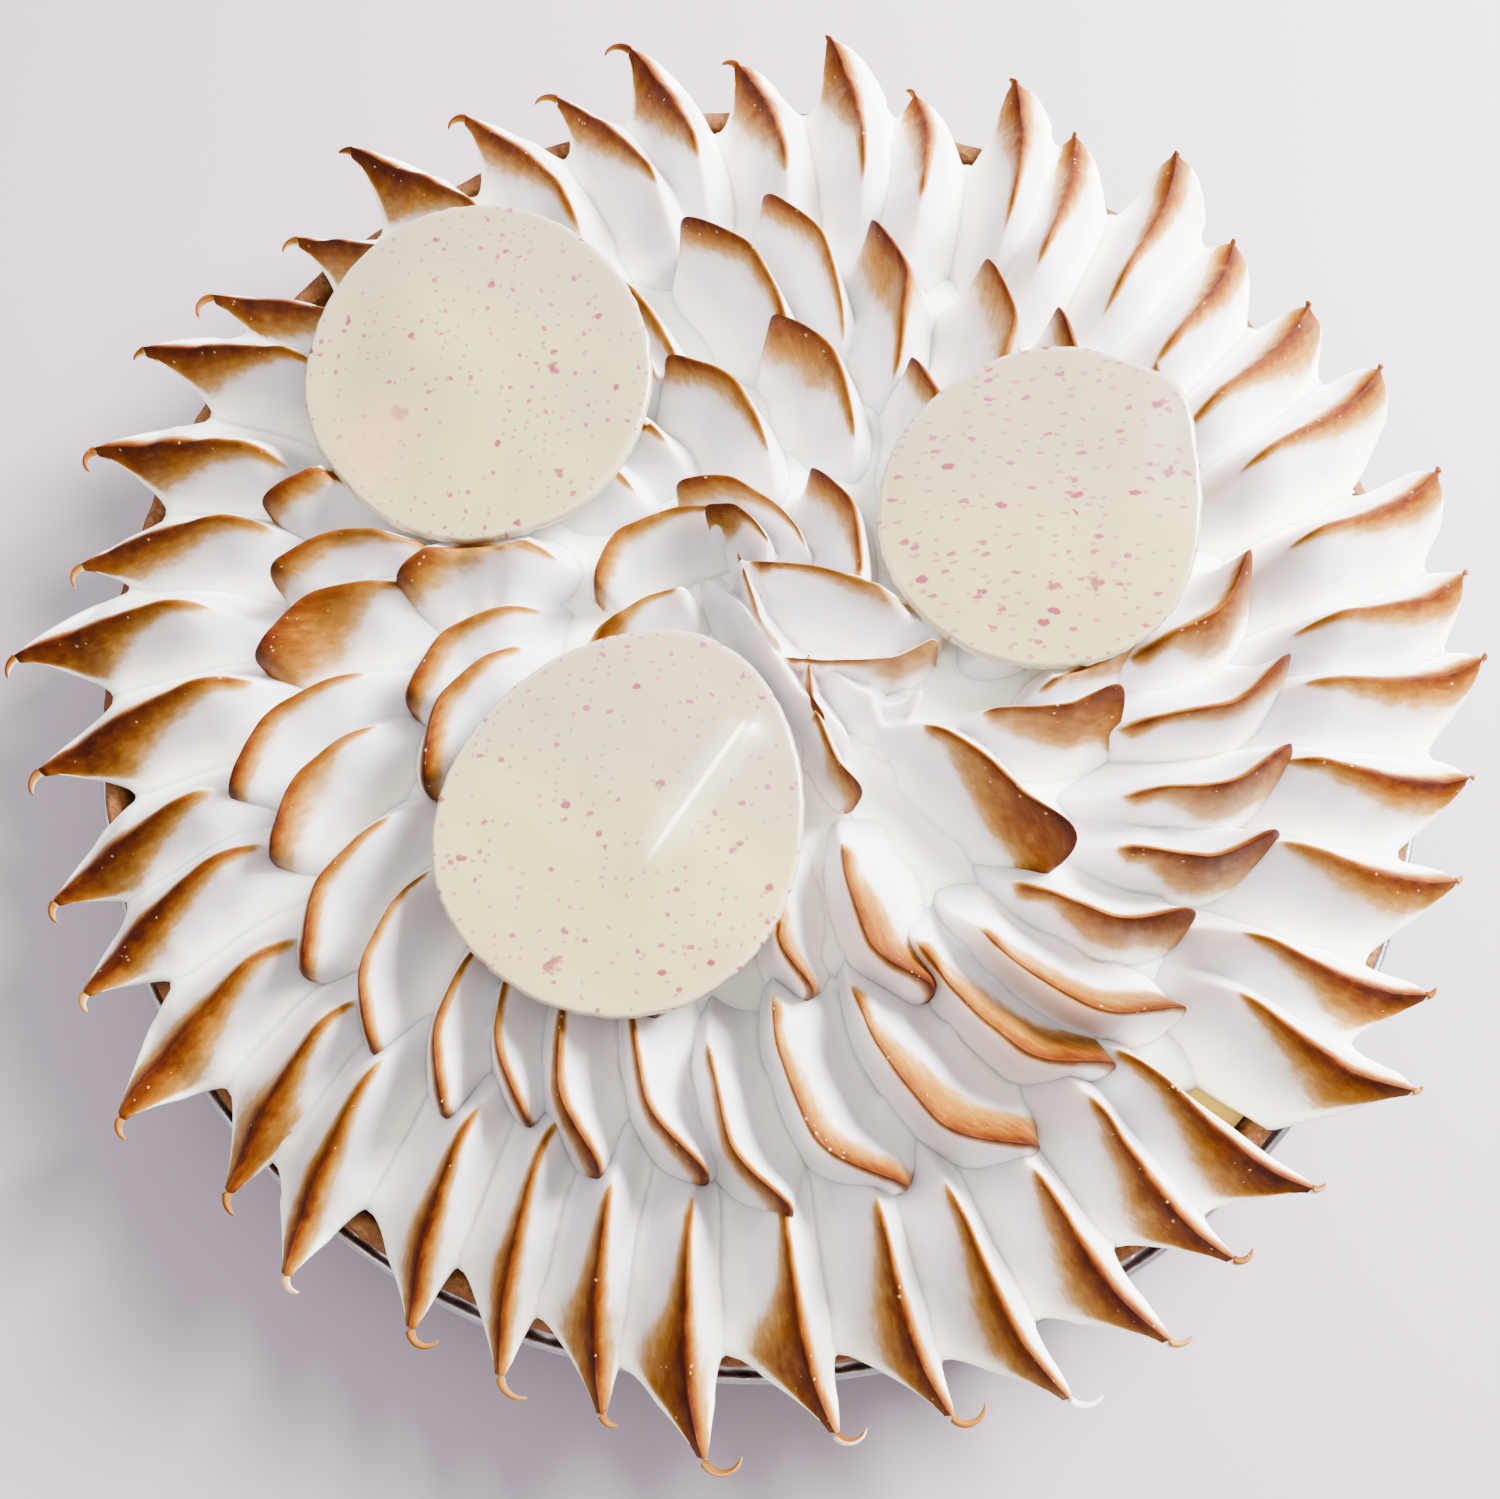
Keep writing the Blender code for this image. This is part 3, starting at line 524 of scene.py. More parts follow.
def petal_surface(petal, draw, body, hook):
    """Points, values and unrolled place of one petal, on a grid of rows round it.

    A row runs from the clockwise foot over the ridge to the other foot, then back below.
    """
    t = petal_rows(petal, body, hook)[:, None]
    t_body = np.minimum(t, 1.0)
    side = TOP_SIDE[None, :]
    right, ridge, left = edges(petal, t_body)
    clockwise = side < 0
    across = ridge + np.where(clockwise, side * (ridge - right), side * (left - ridge))
    share = 1 - np.abs(side)
    x, y = place(petal, t_body, across)
    up = flank(petal, share, clockwise)
    foot, tall = foot_and_rise(petal, t_body, x, y)
    z = foot + tall * up

    # Valleys
    near = [other for other in ALL_PETALS if other is not petal and math.hypot(
        other.x - petal.x, other.y - petal.y) < 0.5 * (other.length + petal.length)]
    others = bed_level(x, y)
    for other in near:
        others = np.maximum(others, height_at(other, x, y))
    z, close = run_together(z, others)

    # Small unevenness of the spooned surface, none at the foot
    z = z + UNEVEN * wander(x, y, 5, 14 * MM) * smooth(0, 0.3, share)
    # The ridge leans a little to one side, and a blunt end over the ring outside it.
    high = np.clip((z - petal.foot) / petal.height, 0, 1)
    outward = END_LEAN * high ** 1.5 * smooth(0.62, 0.95, t_body) * (not petal.drawn)
    lean = -np.sign(petal.crest - (0.05 if petal.drawn else 0.0)) * RIDGE_LEAN * high ** 2
    lean = lean * (0.3 if petal.drawn else -1.0) * draw.uniform(0.5, 1.3)
    ahead = math.radians(petal.heading) + (t_body - 0.5) * petal.length * petal.bow
    x = x + outward * np.cos(ahead) + lean * np.sin(ahead)
    y = y + outward * np.sin(ahead) - lean * np.cos(ahead)

    # Underside
    low_across = 0.5 * (left + right) + 0.5 * (left - right) * UNDER[None, :]
    low_x, low_y = place(petal, t_body, low_across)
    low_foot = foot_and_rise(petal, t_body, low_x, low_y)[0]
    low_z = np.minimum(under_level(np.hypot(low_x, low_y)), low_foot - 0.25 * MM)

    points = np.concatenate([np.stack([x, y, z], -1), np.stack([low_x, low_y, low_z], -1)], 1)
    points = press_under_ovals(points)
    if petal.drawn:
        points[body:] = hook_points(petal, draw, t[body:] - 1.0, t_body, ridge, points, body)

    drop = np.max(z, axis=1, keepdims=True) - z
    away = np.hypot(np.abs(across - ridge), np.maximum(drop, 0))
    brown = browning(petal, draw, t, away, clockwise)
    brown = brown * smooth(0.05, 0.3, up * np.ones_like(t)) ** (1 - smooth(0.85, 0.97, t_body))
    beneath = np.zeros((len(t), len(UNDER)))
    # low is 1 at a petal's feet and beneath: the material paints a warm glow there and shade on the
    # faces.
    values = {"brown": np.concatenate([brown, beneath], 1),
              "low": np.concatenate([1 - smooth(0.0, 0.55, share) * np.ones_like(t), beneath + 1], 1),
              "seam": np.concatenate([close, beneath], 1)}
    wide = np.concatenate([across, low_across], 1)
    unrolled = np.stack([wide, (t_body - 0.5) * petal.length + np.zeros_like(wide)], -1)
    return points, values, unrolled + draw.uniform(0, 1, 2)


def hook_points(petal, draw, curl, t_body, ridge, points, body):
    """The drawn tip goes on as a thread along an arc to the left, curl from 0 to 1.

    Its rows are ovals that shrink along it, and its end is rounded off.
    """
    blunt = leafiness(petal)
    size = draw.uniform(1.9, 3.3) * MM * (1.1 - 0.7 * blunt)
    sweep = math.radians(draw.uniform(50, 150) * (1 - 0.35 * blunt))
    slope = (float(ridge[-1, 0]) - float(ridge[body - 4, 0])) / (
        float(t_body[body - 1, 0] - t_body[body - 4, 0]) * petal.length)
    start = math.radians(petal.heading) + 0.5 * petal.length * petal.bow + math.atan(slope)
    tip_x, tip_y = place(petal, 1.0, float(ridge[body - 1, 0]))
    tip_low = float(np.min(points[body - 1, :, 2]))
    tip_high = float(np.max(points[body - 1, :, 2]))
    theta = sweep * curl
    ahead, aside = size * np.sin(theta), size * (1 - np.cos(theta))
    centre_x = tip_x + ahead * math.cos(start) - aside * math.sin(start)
    centre_y = tip_y + ahead * math.sin(start) + aside * math.cos(start)
    end = np.sqrt(1 - np.clip((curl - 0.8) / 0.22, 0, 1) ** 2)
    thick = ((1 - curl) * 0.5 * (tip_high - tip_low) + curl * HOOK_END) * end
    wide = ((1 - curl) * TIP_THREAD + curl * HOOK_END) * end
    level = 0.5 * (tip_high + tip_low) + draw.uniform(-0.4, 0.8) * MM * curl
    round_top = np.linspace(math.pi, 0, len(TOP_SIDE))
    round_low = -np.linspace(0, math.pi, len(UNDER) + 2)[1:-1]
    turn_round = np.concatenate([round_top, round_low])[None, :]
    out = wide * np.cos(turn_round)
    return np.stack([centre_x + out * np.sin(start + theta), centre_y - out * np.cos(start + theta),
                     level + thick * np.sin(turn_round)], -1)


def browning(petal, draw, t, away, clockwise):
    """Browning of the top from the distance to the ridge, away, and the side the flame came from.

    A line along the ridge is the sum of three bell curves of that distance, and a toasted petal
    has a patch beside it.
    """
    t_body = np.minimum(t, 1.0)
    turn = math.radians(petal.heading)
    facing = petal.toasted_side or -math.sin(turn) * FLAME[0] + math.cos(turn) * FLAME[1]
    flamed = np.clip(0.5 + 0.7 * np.where(clockwise, -facing, facing), 0, 1)
    strength = np.clip(petal.toast + draw.uniform(0.0, 0.12), 0, 1) * FLAMED_SKIN
    warm = 0.94 + 0.14 * draw.uniform(-1, 1)
    toast = max(petal.toast, 0)
    if petal.drawn:
        # The ring is darkest at the left front.
        warm += 0.12 * math.cos(math.radians(petal.angle - 225))
        start_at = draw.uniform(0.34, 0.42)
        # The hook is paler again, most so towards the front.
        paler = draw.uniform(0.7, 1.0) * (0.62 - 0.38 * math.sin(math.radians(petal.angle)))
        line = (smooth(start_at, start_at + 0.08, t_body) * (0.72 + 0.4 * smooth(0.5, 0.85, t_body))
                * (1 - paler * smooth(0.88, 1.1, t)))
        reach = draw.uniform(1.4, 2.3) * MM * (0.35 + 0.45 * smooth(start_at, 0.6, t_body)
                                               + 0.5 * smooth(0.45, 0.85, t_body))
        grown = smooth(0.5, 0.88, t_body)
        patch_reach = (2.0 + (4 + 8 * toast) * grown) * MM
    else:
        start_at = 0.6 * petal.rise[1] + draw.uniform(-0.04, 0.06)
        blotch = np.exp(-((t_body - start_at - 0.07) / 0.05) ** 2)
        blotch = blotch * max(math.cos(math.radians(petal.angle + 25)), 0)
        line = (smooth(start_at, start_at + 0.08, t_body) * (0.62 + 0.25 * blotch)
                + petal.tip * smooth(0.62, 0.92, t_body))
        line = line * (1 - smooth(0.35, 0.75, t_body) * (petal.tip == 0))
        reach = draw.uniform(1.3, 2.0) * MM * (0.25 + 0.5 * smooth(start_at, 0.6, t_body)
                                               + 0.6 * smooth(0.5, 0.95, t_body) + 0.5 * blotch)
        grown = smooth(0.35, 0.72, t_body)
        if petal.toasted_side:
            grown = smooth(0.15, 0.5, t_body) * (0.5 + 0.5 * smooth(0.35, 0.95, t_body))
        patch_reach = (2.0 + (3.5 + 9 * toast) * grown) * MM
    warm = warm * (petal.toast >= 0)
    reach = reach * (0.5 + 0.95 * flamed)
    ridge_brown = warm * line * (0.30 * np.exp(-(away / (0.5 * reach)) ** 2)
                                 + 0.45 * np.exp(-(away / (1.25 * reach)) ** 2)
                                 + 0.09 * np.exp(-(away / (3.2 * reach)) ** 2))
    fall = 5 if petal.toasted_side else 2.6
    patch = strength * warm * grown * np.exp(-(away / patch_reach) ** fall) * flamed
    return 1 - (1 - np.clip(ridge_brown, 0, 1)) * (1 - np.clip(patch, 0, 1))


def bed_points():
    """The meringue under the petals: a low dome, raised to meet the petals smoothly.

    Rings of a waved radius, further out at one side, then an edge down to the flat underside.
    """
    radius = np.concatenate([np.arange(3, 84, 1.1), (85, 87, 88.5, 88.5, 40, 3)])[:, None] * MM
    turn = np.arange(360)[None, :] * math.tau / 360
    wide = 0.20 * np.exp(-((np.degrees(turn) - 323) / 12) ** 2) * (radius > 70 * MM)
    out = radius * (1 + 0.02 * np.sin(5 * turn + 1) + 0.015 * np.sin(13 * turn) + wide)
    x, y = out * np.cos(turn), out * np.sin(turn) + BED_SHIFT
    z = bed_level(x, y, radius)
    others = np.max([height_at(petal, x, y) for petal in ALL_PETALS], axis=0)
    z, close = run_together(z, others)
    z[-3:] = UNDERSIDE
    close[-3:] = 0
    points = press_under_ovals(np.stack([x, y, z], -1))
    # The whole bed is low: the material paints it with the warm valley glow.
    values = {"brown": 0 * close, "low": 0 * close + 1, "seam": close}
    return points, values, points[..., :2]


def make_crown(name, petals, seed, body, hook, material, bed=False):
    """A ring of petals as one closed piece: every petal is a closed tube of rows with a pole at
    each end, and the tubes are united, with the bed under them if there is one."""
    draw = np.random.default_rng(seed)
    surfaces = [petal_surface(petal, draw, body, hook) for petal in petals]
    if bed:
        surfaces.append(bed_points())
    items = []
    for rows, values, unrolled in surfaces:
        points, quads, triangles = capped(rows)
        attributes = {label: np.concatenate([value.ravel(), [value[0].mean(), value[-1].mean()]])
                      for label, value in values.items()}
        uv = np.concatenate([unrolled.reshape(-1, 2), unrolled[:1].mean(1), unrolled[-1:].mean(1)])
        mesh = make_mesh("tube", points, quads[:, ::-1], triangles[:, ::-1], attributes, uv)
        mesh.materials.append(material)
        items.append(bpy.data.objects.new("tube" if items else name, mesh))
    crown = items[0]
    bpy.context.scene.collection.objects.link(crown)
    tubes = bpy.data.collections.new("tubes")
    bpy.context.scene.collection.children.link(tubes)
    for item in items[1:]:
        tubes.objects.link(item)
    unite(crown, tubes)
    soften(crown.data, SOFTEN_ROUNDS)
    crown.data.shade_smooth()
    stand_for(crown, "meringue")


def soften(mesh, rounds):
    """Relax the valleys where petals run into each other: points move towards their neighbours."""
    count = len(mesh.vertices)
    points, seam = np.zeros(count * 3), np.zeros(count)
    ends = np.zeros(len(mesh.edges) * 2, np.int32)
    mesh.vertices.foreach_get("co", points)
    mesh.edges.foreach_get("vertices", ends)
    mesh.attributes["seam"].data.foreach_get("value", seam)
    points = points.reshape(-1, 3)
    first, second = ends[::2], ends[1::2]
    share = 1 / np.maximum(np.bincount(ends, minlength=count), 1)
    pull = 0.6 * smooth(0.0, 0.5, seam)
    for _ in range(rounds):
        for axis in range(3):
            value = points[:, axis]
            near = (np.bincount(first, value[second], count)
                    + np.bincount(second, value[first], count)) * share
            points[:, axis] = value + pull * (near - value)
    mesh.vertices.foreach_set("co", points.ravel())
    mesh.update()


def unite(item, others):
    """Join a collection of closed pieces to item, with nothing left inside."""
    step = item.modifiers.new("unite", "BOOLEAN")
    step.operation, step.solver = "UNION", "MANIFOLD"
    step.operand_type, step.collection = "COLLECTION", others
    graph = bpy.context.evaluated_depsgraph_get()
    mesh = bpy.data.meshes.new_from_object(item.evaluated_get(graph))
    item.modifiers.clear()
    item.data = mesh
    for other in list(others.objects):
        bpy.data.objects.remove(other)
    bpy.data.collections.remove(others)


# --------------------------------------------------------------------------- materials

def new_material(name):
    """A material, its node tree and its shader."""
    material = bpy.data.materials.new(name)
    material.use_nodes = True
    return material, material.node_tree, material.node_tree.nodes["Principled BSDF"]


def add(tree, kind, settings=None, **inputs):
    """A node with its settings, and its inputs set or linked, by name or as n and a number."""
    node = tree.nodes.new(kind)
    for key, value in (settings or {}).items():
        setattr(node, key, value)
    for key, value in inputs.items():
        numbered = key[0] == "n" and key[1:].isdigit()
        socket = node.inputs[int(key[1:]) if numbered else key.replace("_", " ")]
        if isinstance(value, bpy.types.NodeSocket):
            tree.links.new(value, socket)
        else:
            socket.default_value = value
    return node


def maths(tree, operation, first, second=0.0, clamp=False):
    """One operation on two values."""
    return add(tree, "ShaderNodeMath", {"operation": operation, "use_clamp": clamp},
               n0=first, n1=second).outputs[0]


def vector_maths(tree, operation, first, second):
    """The node of one operation on two vectors."""
    return add(tree, "ShaderNodeVectorMath", {"operation": operation}, n0=first, n1=second)


def warp(tree, amount, vector, by):
    """A vector mixed by an amount with another."""
    node = add(tree, "ShaderNodeMix", {"data_type": "VECTOR"}, n0=amount, n4=vector, n5=by)
    return node.outputs[1]


def spread(tree, value, low, high, to_low=0.0, to_high=1.0):
    """A value from low..high to to_low..to_high along an S curve."""
    node = add(tree, "ShaderNodeMapRange", {"interpolation_type": "SMOOTHSTEP"}, n0=value, n1=low,
               n2=high, n3=to_low, n4=to_high)
    return node.outputs[0]


def mix_colour(tree, share, first, second):
    """The first colour, with a share of the second over it."""
    node = add(tree, "ShaderNodeMix", {"data_type": "RGBA"})
    for socket, value in ((node.inputs[0], share), (node.inputs[6], first), (node.inputs[7], second)):
        if isinstance(value, bpy.types.NodeSocket):
            tree.links.new(value, socket)
        else:
            socket.default_value = (*value, 1.0) if isinstance(value, tuple) else value
    return node.outputs[2]


def ramp(tree, value, stops):
    """A colour for a value, blended between stops of (position, colour)."""
    node = add(tree, "ShaderNodeValToRGB", None, Fac=value)
    elements = node.color_ramp.elements
    while len(elements) < len(stops):
        elements.new(0.5)
    for element, (position, colour) in zip(elements, stops):
        element.position = position
        element.color = (*colour, 1.0)
    return node.outputs[0]


def noise(tree, vector, scale, detail=3.0, roughness=0.55):
    """Cloudy noise from 0 to 1, scale to the metre."""
    return add(tree, "ShaderNodeTexNoise", None, Vector=vector, Scale=scale, Detail=detail,
               Roughness=roughness).outputs[0]


def relief(tree, shader, height, strength, distance):
    """Fine relief on a shader from a height."""
    bump = add(tree, "ShaderNodeBump", None, Height=height, Strength=strength, Distance=distance)
    tree.links.new(bump.outputs[0], shader.inputs["Normal"])


def translucent(shader, weight, radius, scale):
    """Light that goes in and comes out again: how much, how far each colour goes, in what scale."""
    shader.inputs["Subsurface Weight"].default_value = weight
    shader.inputs["Subsurface Radius"].default_value = radius
    shader.inputs["Subsurface Scale"].default_value = scale


def meringue_material():
    """White with painted shade, a little blue, on the faces and a painted warm glow in the valleys,
    toasted where brown says.
    """
    material, tree, shader = new_material("toasted_meringue")
    place_in = add(tree, "ShaderNodeTexCoord").outputs["Object"]
    unrolled = add(tree, "ShaderNodeUVMap", {"uv_map": "UVMap"}).outputs[0]
    brown = add(tree, "ShaderNodeAttribute", {"attribute_name": "brown"}).outputs["Fac"]
    low = add(tree, "ShaderNodeAttribute", {"attribute_name": "low"}).outputs["Fac"]
    streaks = add(tree, "ShaderNodeMapping", None, Vector=unrolled, Scale=(1.0, 0.28, 1.0)).outputs[0]
    fine = noise(tree, streaks, 1300.0, 3.0, 0.6)
    blotch = noise(tree, place_in, 260.0, 3.0, 0.6)
    cloud = noise(tree, place_in, 60.0, 2.0, 0.5)
    uneven = maths(tree, "ADD", maths(tree, "MULTIPLY", fine, 0.95),
                   maths(tree, "MULTIPLY", blotch, 0.9))
    uneven = maths(tree, "ADD", uneven, 0.07)
    toast = maths(tree, "MULTIPLY", brown, uneven, True)

    # Painted shade: the faces are coloured darker and lilac; painted glow: the valleys (low) are
    # coloured bright and warm.
    face = mix_colour(tree, spread(tree, cloud, 0.35, 0.65), (0.575, 0.545, 0.582), (0.70, 0.672, 0.695))
    white = mix_colour(tree, maths(tree, "POWER", low, 0.52), face, (1.0, 0.955, 0.80))
    tone = ramp(tree, toast, ((0.0, (0.58, 0.43, 0.27)), (0.10, (0.37, 0.22, 0.080)),
                              (0.25, (0.215, 0.090, 0.010)), (0.45, (0.120, 0.034, 0.0006)),
                              (0.66, (0.074, 0.0145, 0.0)), (0.92, (0.033, 0.0042, 0.0))))
    cover = spread(tree, toast, 0.01, 0.16)
    colour = mix_colour(tree, cover, white, tone)
    # Burst bubbles leave pale specks in the toasted skin.
    specks = add(tree, "ShaderNodeTexVoronoi", None, Vector=place_in, Scale=620.0).outputs["Distance"]
    rare = maths(tree, "GREATER_THAN", noise(tree, place_in, 420.0, 1.0), 0.60)
    dots = maths(tree, "MULTIPLY", maths(tree, "LESS_THAN", specks, 0.17), rare)
    dots = maths(tree, "MULTIPLY", dots, spread(tree, toast, 0.25, 0.5, 0.0, 0.45))
    colour = mix_colour(tree, dots, colour, (0.62, 0.42, 0.22))
    tree.links.new(colour, shader.inputs["Base Color"])
    shader.inputs["Specular IOR Level"].default_value = 0.07
    rough = spread(tree, toast, 0.1, 0.6, 0.30, 0.60)
    tree.links.new(rough, shader.inputs["Roughness"])
    translucent(shader, 0.0, (1.0, 0.74, 0.50), 0.0045)
    tree.links.new(spread(tree, toast, 0.0, 0.22, 0.85, 0.03), shader.inputs["Subsurface Weight"])
    grain = maths(tree, "ADD", maths(tree, "MULTIPLY", fine, 0.5),
                  maths(tree, "MULTIPLY", noise(tree, place_in, 700.0, 3.0), 0.5))
    relief(tree, shader, grain, 0.16, 0.5 * MM)
    return material


def curd_material():
    """Set lemon curd: deep yellow, glossy, a little deeper in slow patches."""
    material, tree, shader = new_material("lemon_curd")
    place_in = add(tree, "ShaderNodeTexCoord").outputs["Object"]
    patches = noise(tree, place_in, 90.0, 2.0)
    tree.links.new(mix_colour(tree, patches, (0.50, 0.31, 0.02), (0.56, 0.38, 0.05)),
                   shader.inputs["Base Color"])
    shader.inputs["Roughness"].default_value = 0.2
    translucent(shader, 0.3, (1.0, 0.7, 0.2), 0.003)
    relief(tree, shader, noise(tree, place_in, 300.0), 0.1, 0.5 * MM)
    return material


def pastry_material():
    """Baked shortcrust: orange brown, with a sandy crumb."""
    material, tree, shader = new_material("baked_pastry")
    place_in = add(tree, "ShaderNodeTexCoord").outputs["Object"]
    patches = noise(tree, place_in, 120.0, 4.0, 0.6)
    crumb = noise(tree, place_in, 900.0, 4.0, 0.7)
    cells = add(tree, "ShaderNodeTexVoronoi", None, Vector=place_in, Scale=800.0).outputs["Distance"]
    base = ramp(tree, patches, ((0.30, (0.075, 0.020, 0.004)), (0.50, (0.15, 0.052, 0.012)),
                                (0.68, (0.23, 0.095, 0.030))))
    base = mix_colour(tree, spread(tree, crumb, 0.52, 0.70, 0.0, 0.55), base, (0.29, 0.145, 0.055))
    base = mix_colour(tree, spread(tree, crumb, 0.48, 0.30, 0.0, 0.6), base, (0.045, 0.011, 0.003))
    tree.links.new(base, shader.inputs["Base Color"])
    shader.inputs["Roughness"].default_value = 0.62
    shader.inputs["Specular IOR Level"].default_value = 0.2
    grain = maths(tree, "ADD", crumb, maths(tree, "MULTIPLY", cells, 0.7))
    relief(tree, shader, grain, 0.8, 0.6 * MM)
    return material


def foil_material():
    """Thin pressed foil: bright metal with small dents and dulled patches."""
    material, tree, shader = new_material("foil")
    place_in = add(tree, "ShaderNodeTexCoord").outputs["Object"]
    shader.inputs["Metallic"].default_value = 1.0
    dull = noise(tree, place_in, 160.0, 3.0)
    tree.links.new(mix_colour(tree, dull, (0.30, 0.29, 0.33), (0.46, 0.45, 0.49)),
                   shader.inputs["Base Color"])
    tree.links.new(spread(tree, dull, 0.3, 0.7, 0.22, 0.42), shader.inputs["Roughness"])
    dents = maths(tree, "ADD", noise(tree, place_in, 420.0, 3.0), noise(tree, place_in, 90.0, 2.0))
    relief(tree, shader, dents, 0.35, 0.6 * MM)
    return material


# Berry specks of three sizes: cells to the metre, size in a cell, chance, colour and cover
SPECKS = ((170.0, 0.120, 0.12, (0.17, 0.004, 0.036), 0.95),
          (300.0, 0.155, 0.22, (0.22, 0.012, 0.060), 0.9),
          (560.0, 0.200, 0.32, (0.24, 0.050, 0.085), 0.75))


def berry_specks(tree, where, drifts, amount, colour):
    """Specks in some of the cells of a pattern, in more of them where drifts is high."""
    for scale, size, chance, tint, cover in SPECKS:
        cell = add(tree, "ShaderNodeTexVoronoi", {"voronoi_dimensions": "2D"}, Vector=where,
                   Scale=scale)
        pick = add(tree, "ShaderNodeSeparateColor", None, Color=cell.outputs["Color"]).outputs[0]
        share = maths(tree, "ADD", chance * (0.6 + 1.1 * amount) - 0.30,
                      maths(tree, "MULTIPLY", drifts, 0.60))
        chosen = maths(tree, "LESS_THAN", pick, share)
        spot = spread(tree, cell.outputs["Distance"], size, size * 0.65)
        spot = maths(tree, "MULTIPLY", spot, chosen)
        colour = mix_colour(tree, maths(tree, "MULTIPLY", spot, cover), colour, tint)
    return colour


def painted_fold_highlight(tree, placed, colour):
    """A painted highlight along the fold's crest: from the distance to the line, faded at both ends."""
    (from_x, from_y), (to_x, to_y) = CREASE
    long = math.hypot(to_x - from_x, to_y - from_y)
    line = (to_x - from_x) / long, (to_y - from_y) / long, 0
    from_start = vector_maths(tree, "SUBTRACT", placed, (from_x * MM, from_y * MM, 0)).outputs[0]
    along = vector_maths(tree, "DOT_PRODUCT", from_start, line).outputs["Value"]
    aside = vector_maths(tree, "DOT_PRODUCT", from_start, (-line[1], line[0], 0)).outputs["Value"]
    aside = maths(tree, "ABSOLUTE", aside)
    inside = maths(tree, "MULTIPLY", spread(tree, along, -1.5 * MM, 1 * MM),
                   spread(tree, along, (long + 4) * MM, (long - 4) * MM))
    # Painted glow beside the crest, then a painted bright line on it.
    glow = maths(tree, "MULTIPLY", inside, spread(tree, aside, 5 * MM, 0, 0.0, 0.35))
    colour = mix_colour(tree, glow, colour, (0.62, 0.58, 0.42))
    edge = maths(tree, "MULTIPLY", inside, spread(tree, aside, 0.65 * MM, 0.2 * MM))
    return mix_colour(tree, edge, colour, (0.78, 0.75, 0.62))


def chocolate_material(oval, berries):
    """White chocolate, yellower towards the front, with freeze-dried berry specks of three
    sizes gathered in drifts, a few larger pieces and one warm stain."""
    material, tree, shader = new_material("white_" + oval.name)
    raw = add(tree, "ShaderNodeTexCoord").outputs["Object"]
    placed = add(tree, "ShaderNodeMapping", None, Vector=raw,
                 Location=(-oval.x, -oval.y, -oval.z)).outputs[0]
    apart = add(tree, "ShaderNodeMapping", None, Vector=raw,
                Location=(0.2 * oval.seed, 0, 0), Rotation=(0, 0, 0.15),
                Scale=(1 - 0.45 * berries.smear, 1, 1)).outputs[0]
    rim = add(tree, "ShaderNodeAttribute", {"attribute_name": "rim"}).outputs["Fac"]
    split = add(tree, "ShaderNodeSeparateXYZ", None, Vector=placed)
    soft = noise(tree, apart, 26.0, 2.0, 0.5)
    soft_off = maths(tree, "SUBTRACT", soft, 0.5)
    front = maths(tree, "ADD", maths(tree, "MULTIPLY", split.outputs[1], -24.0),
                  maths(tree, "MULTIPLY", soft_off, 2.6))
    cream = mix_colour(tree, spread(tree, front, -0.35, 0.55), (0.272, 0.226, 0.145),
                       (0.345, 0.298, 0.122))
    # Painted edge glow: the rim is coloured paler, as if light shone through the thin edge.
    cream = mix_colour(tree, maths(tree, "MULTIPLY", rim, 0.35), cream, (0.52, 0.48, 0.40))
    drifts = noise(tree, apart, 60.0, 2.0, 0.6)
    blush = spread(tree, drifts, 0.62 - 0.10 * berries.amount, 0.82, 0.0,
                   0.30 + 0.2 * berries.amount)
    colour = mix_colour(tree, blush, cream, (0.38, 0.16, 0.13))
    wobble = add(tree, "ShaderNodeTexNoise", None, Vector=placed, Scale=700.0, Detail=2.0).outputs[1]
    colour = berry_specks(tree, warp(tree, 0.0012, apart, wobble), drifts, berries.amount, colour)
    flat = vector_maths(tree, "MULTIPLY", warp(tree, 0.0035, placed, wobble), (1, 1, 0)).outputs[0]
    for x, y, size in berries.pieces:
        far = vector_maths(tree, "DISTANCE", flat, (x * MM, y * MM, 0)).outputs["Value"]
        colour = mix_colour(tree, spread(tree, far, size * MM, size * 0.5 * MM, 0.0, 0.85),
                            colour, (0.15, 0.003, 0.034))
    if berries.stain:
        x, y, size = berries.stain
        far = vector_maths(tree, "DISTANCE", flat, (x * MM, y * MM, 0)).outputs["Value"]
        far = maths(tree, "ADD", far, maths(tree, "MULTIPLY", soft_off, 0.03))
        colour = mix_colour(tree, spread(tree, far, size * MM, size * 0.3 * MM, 0.0, 0.5), colour,
                            (0.48, 0.25, 0.14))
    # The folded oval gets a painted highlight along its crease.
    if oval is FOLDED:
        colour = painted_fold_highlight(tree, placed, colour)
    tree.links.new(colour, shader.inputs["Base Color"])
    shader.inputs["Roughness"].default_value = 0.24
    translucent(shader, 0.12, (1.0, 0.8, 0.5), 0.002)
    relief(tree, shader, noise(tree, placed, 130.0, 3.0), 0.12, 0.6 * MM)
    return material


# --------------------------------------------------------------------------- crust, tin and ovals

def ring_wander(angle, seed, first, last, fall=1.0):
    """A value of about -1 to 1 that closes round the ring: waves first..last, fading by fall."""
    draw = np.random.default_rng(seed)
    total, weight = np.zeros_like(angle), 0.0
    for wave in range(first, last + 1):
        size = (first / wave) ** fall
        total += size * np.sin(wave * angle + draw.uniform(0, math.tau))
        weight += size * size
    return total / math.sqrt(0.5 * weight) / 2


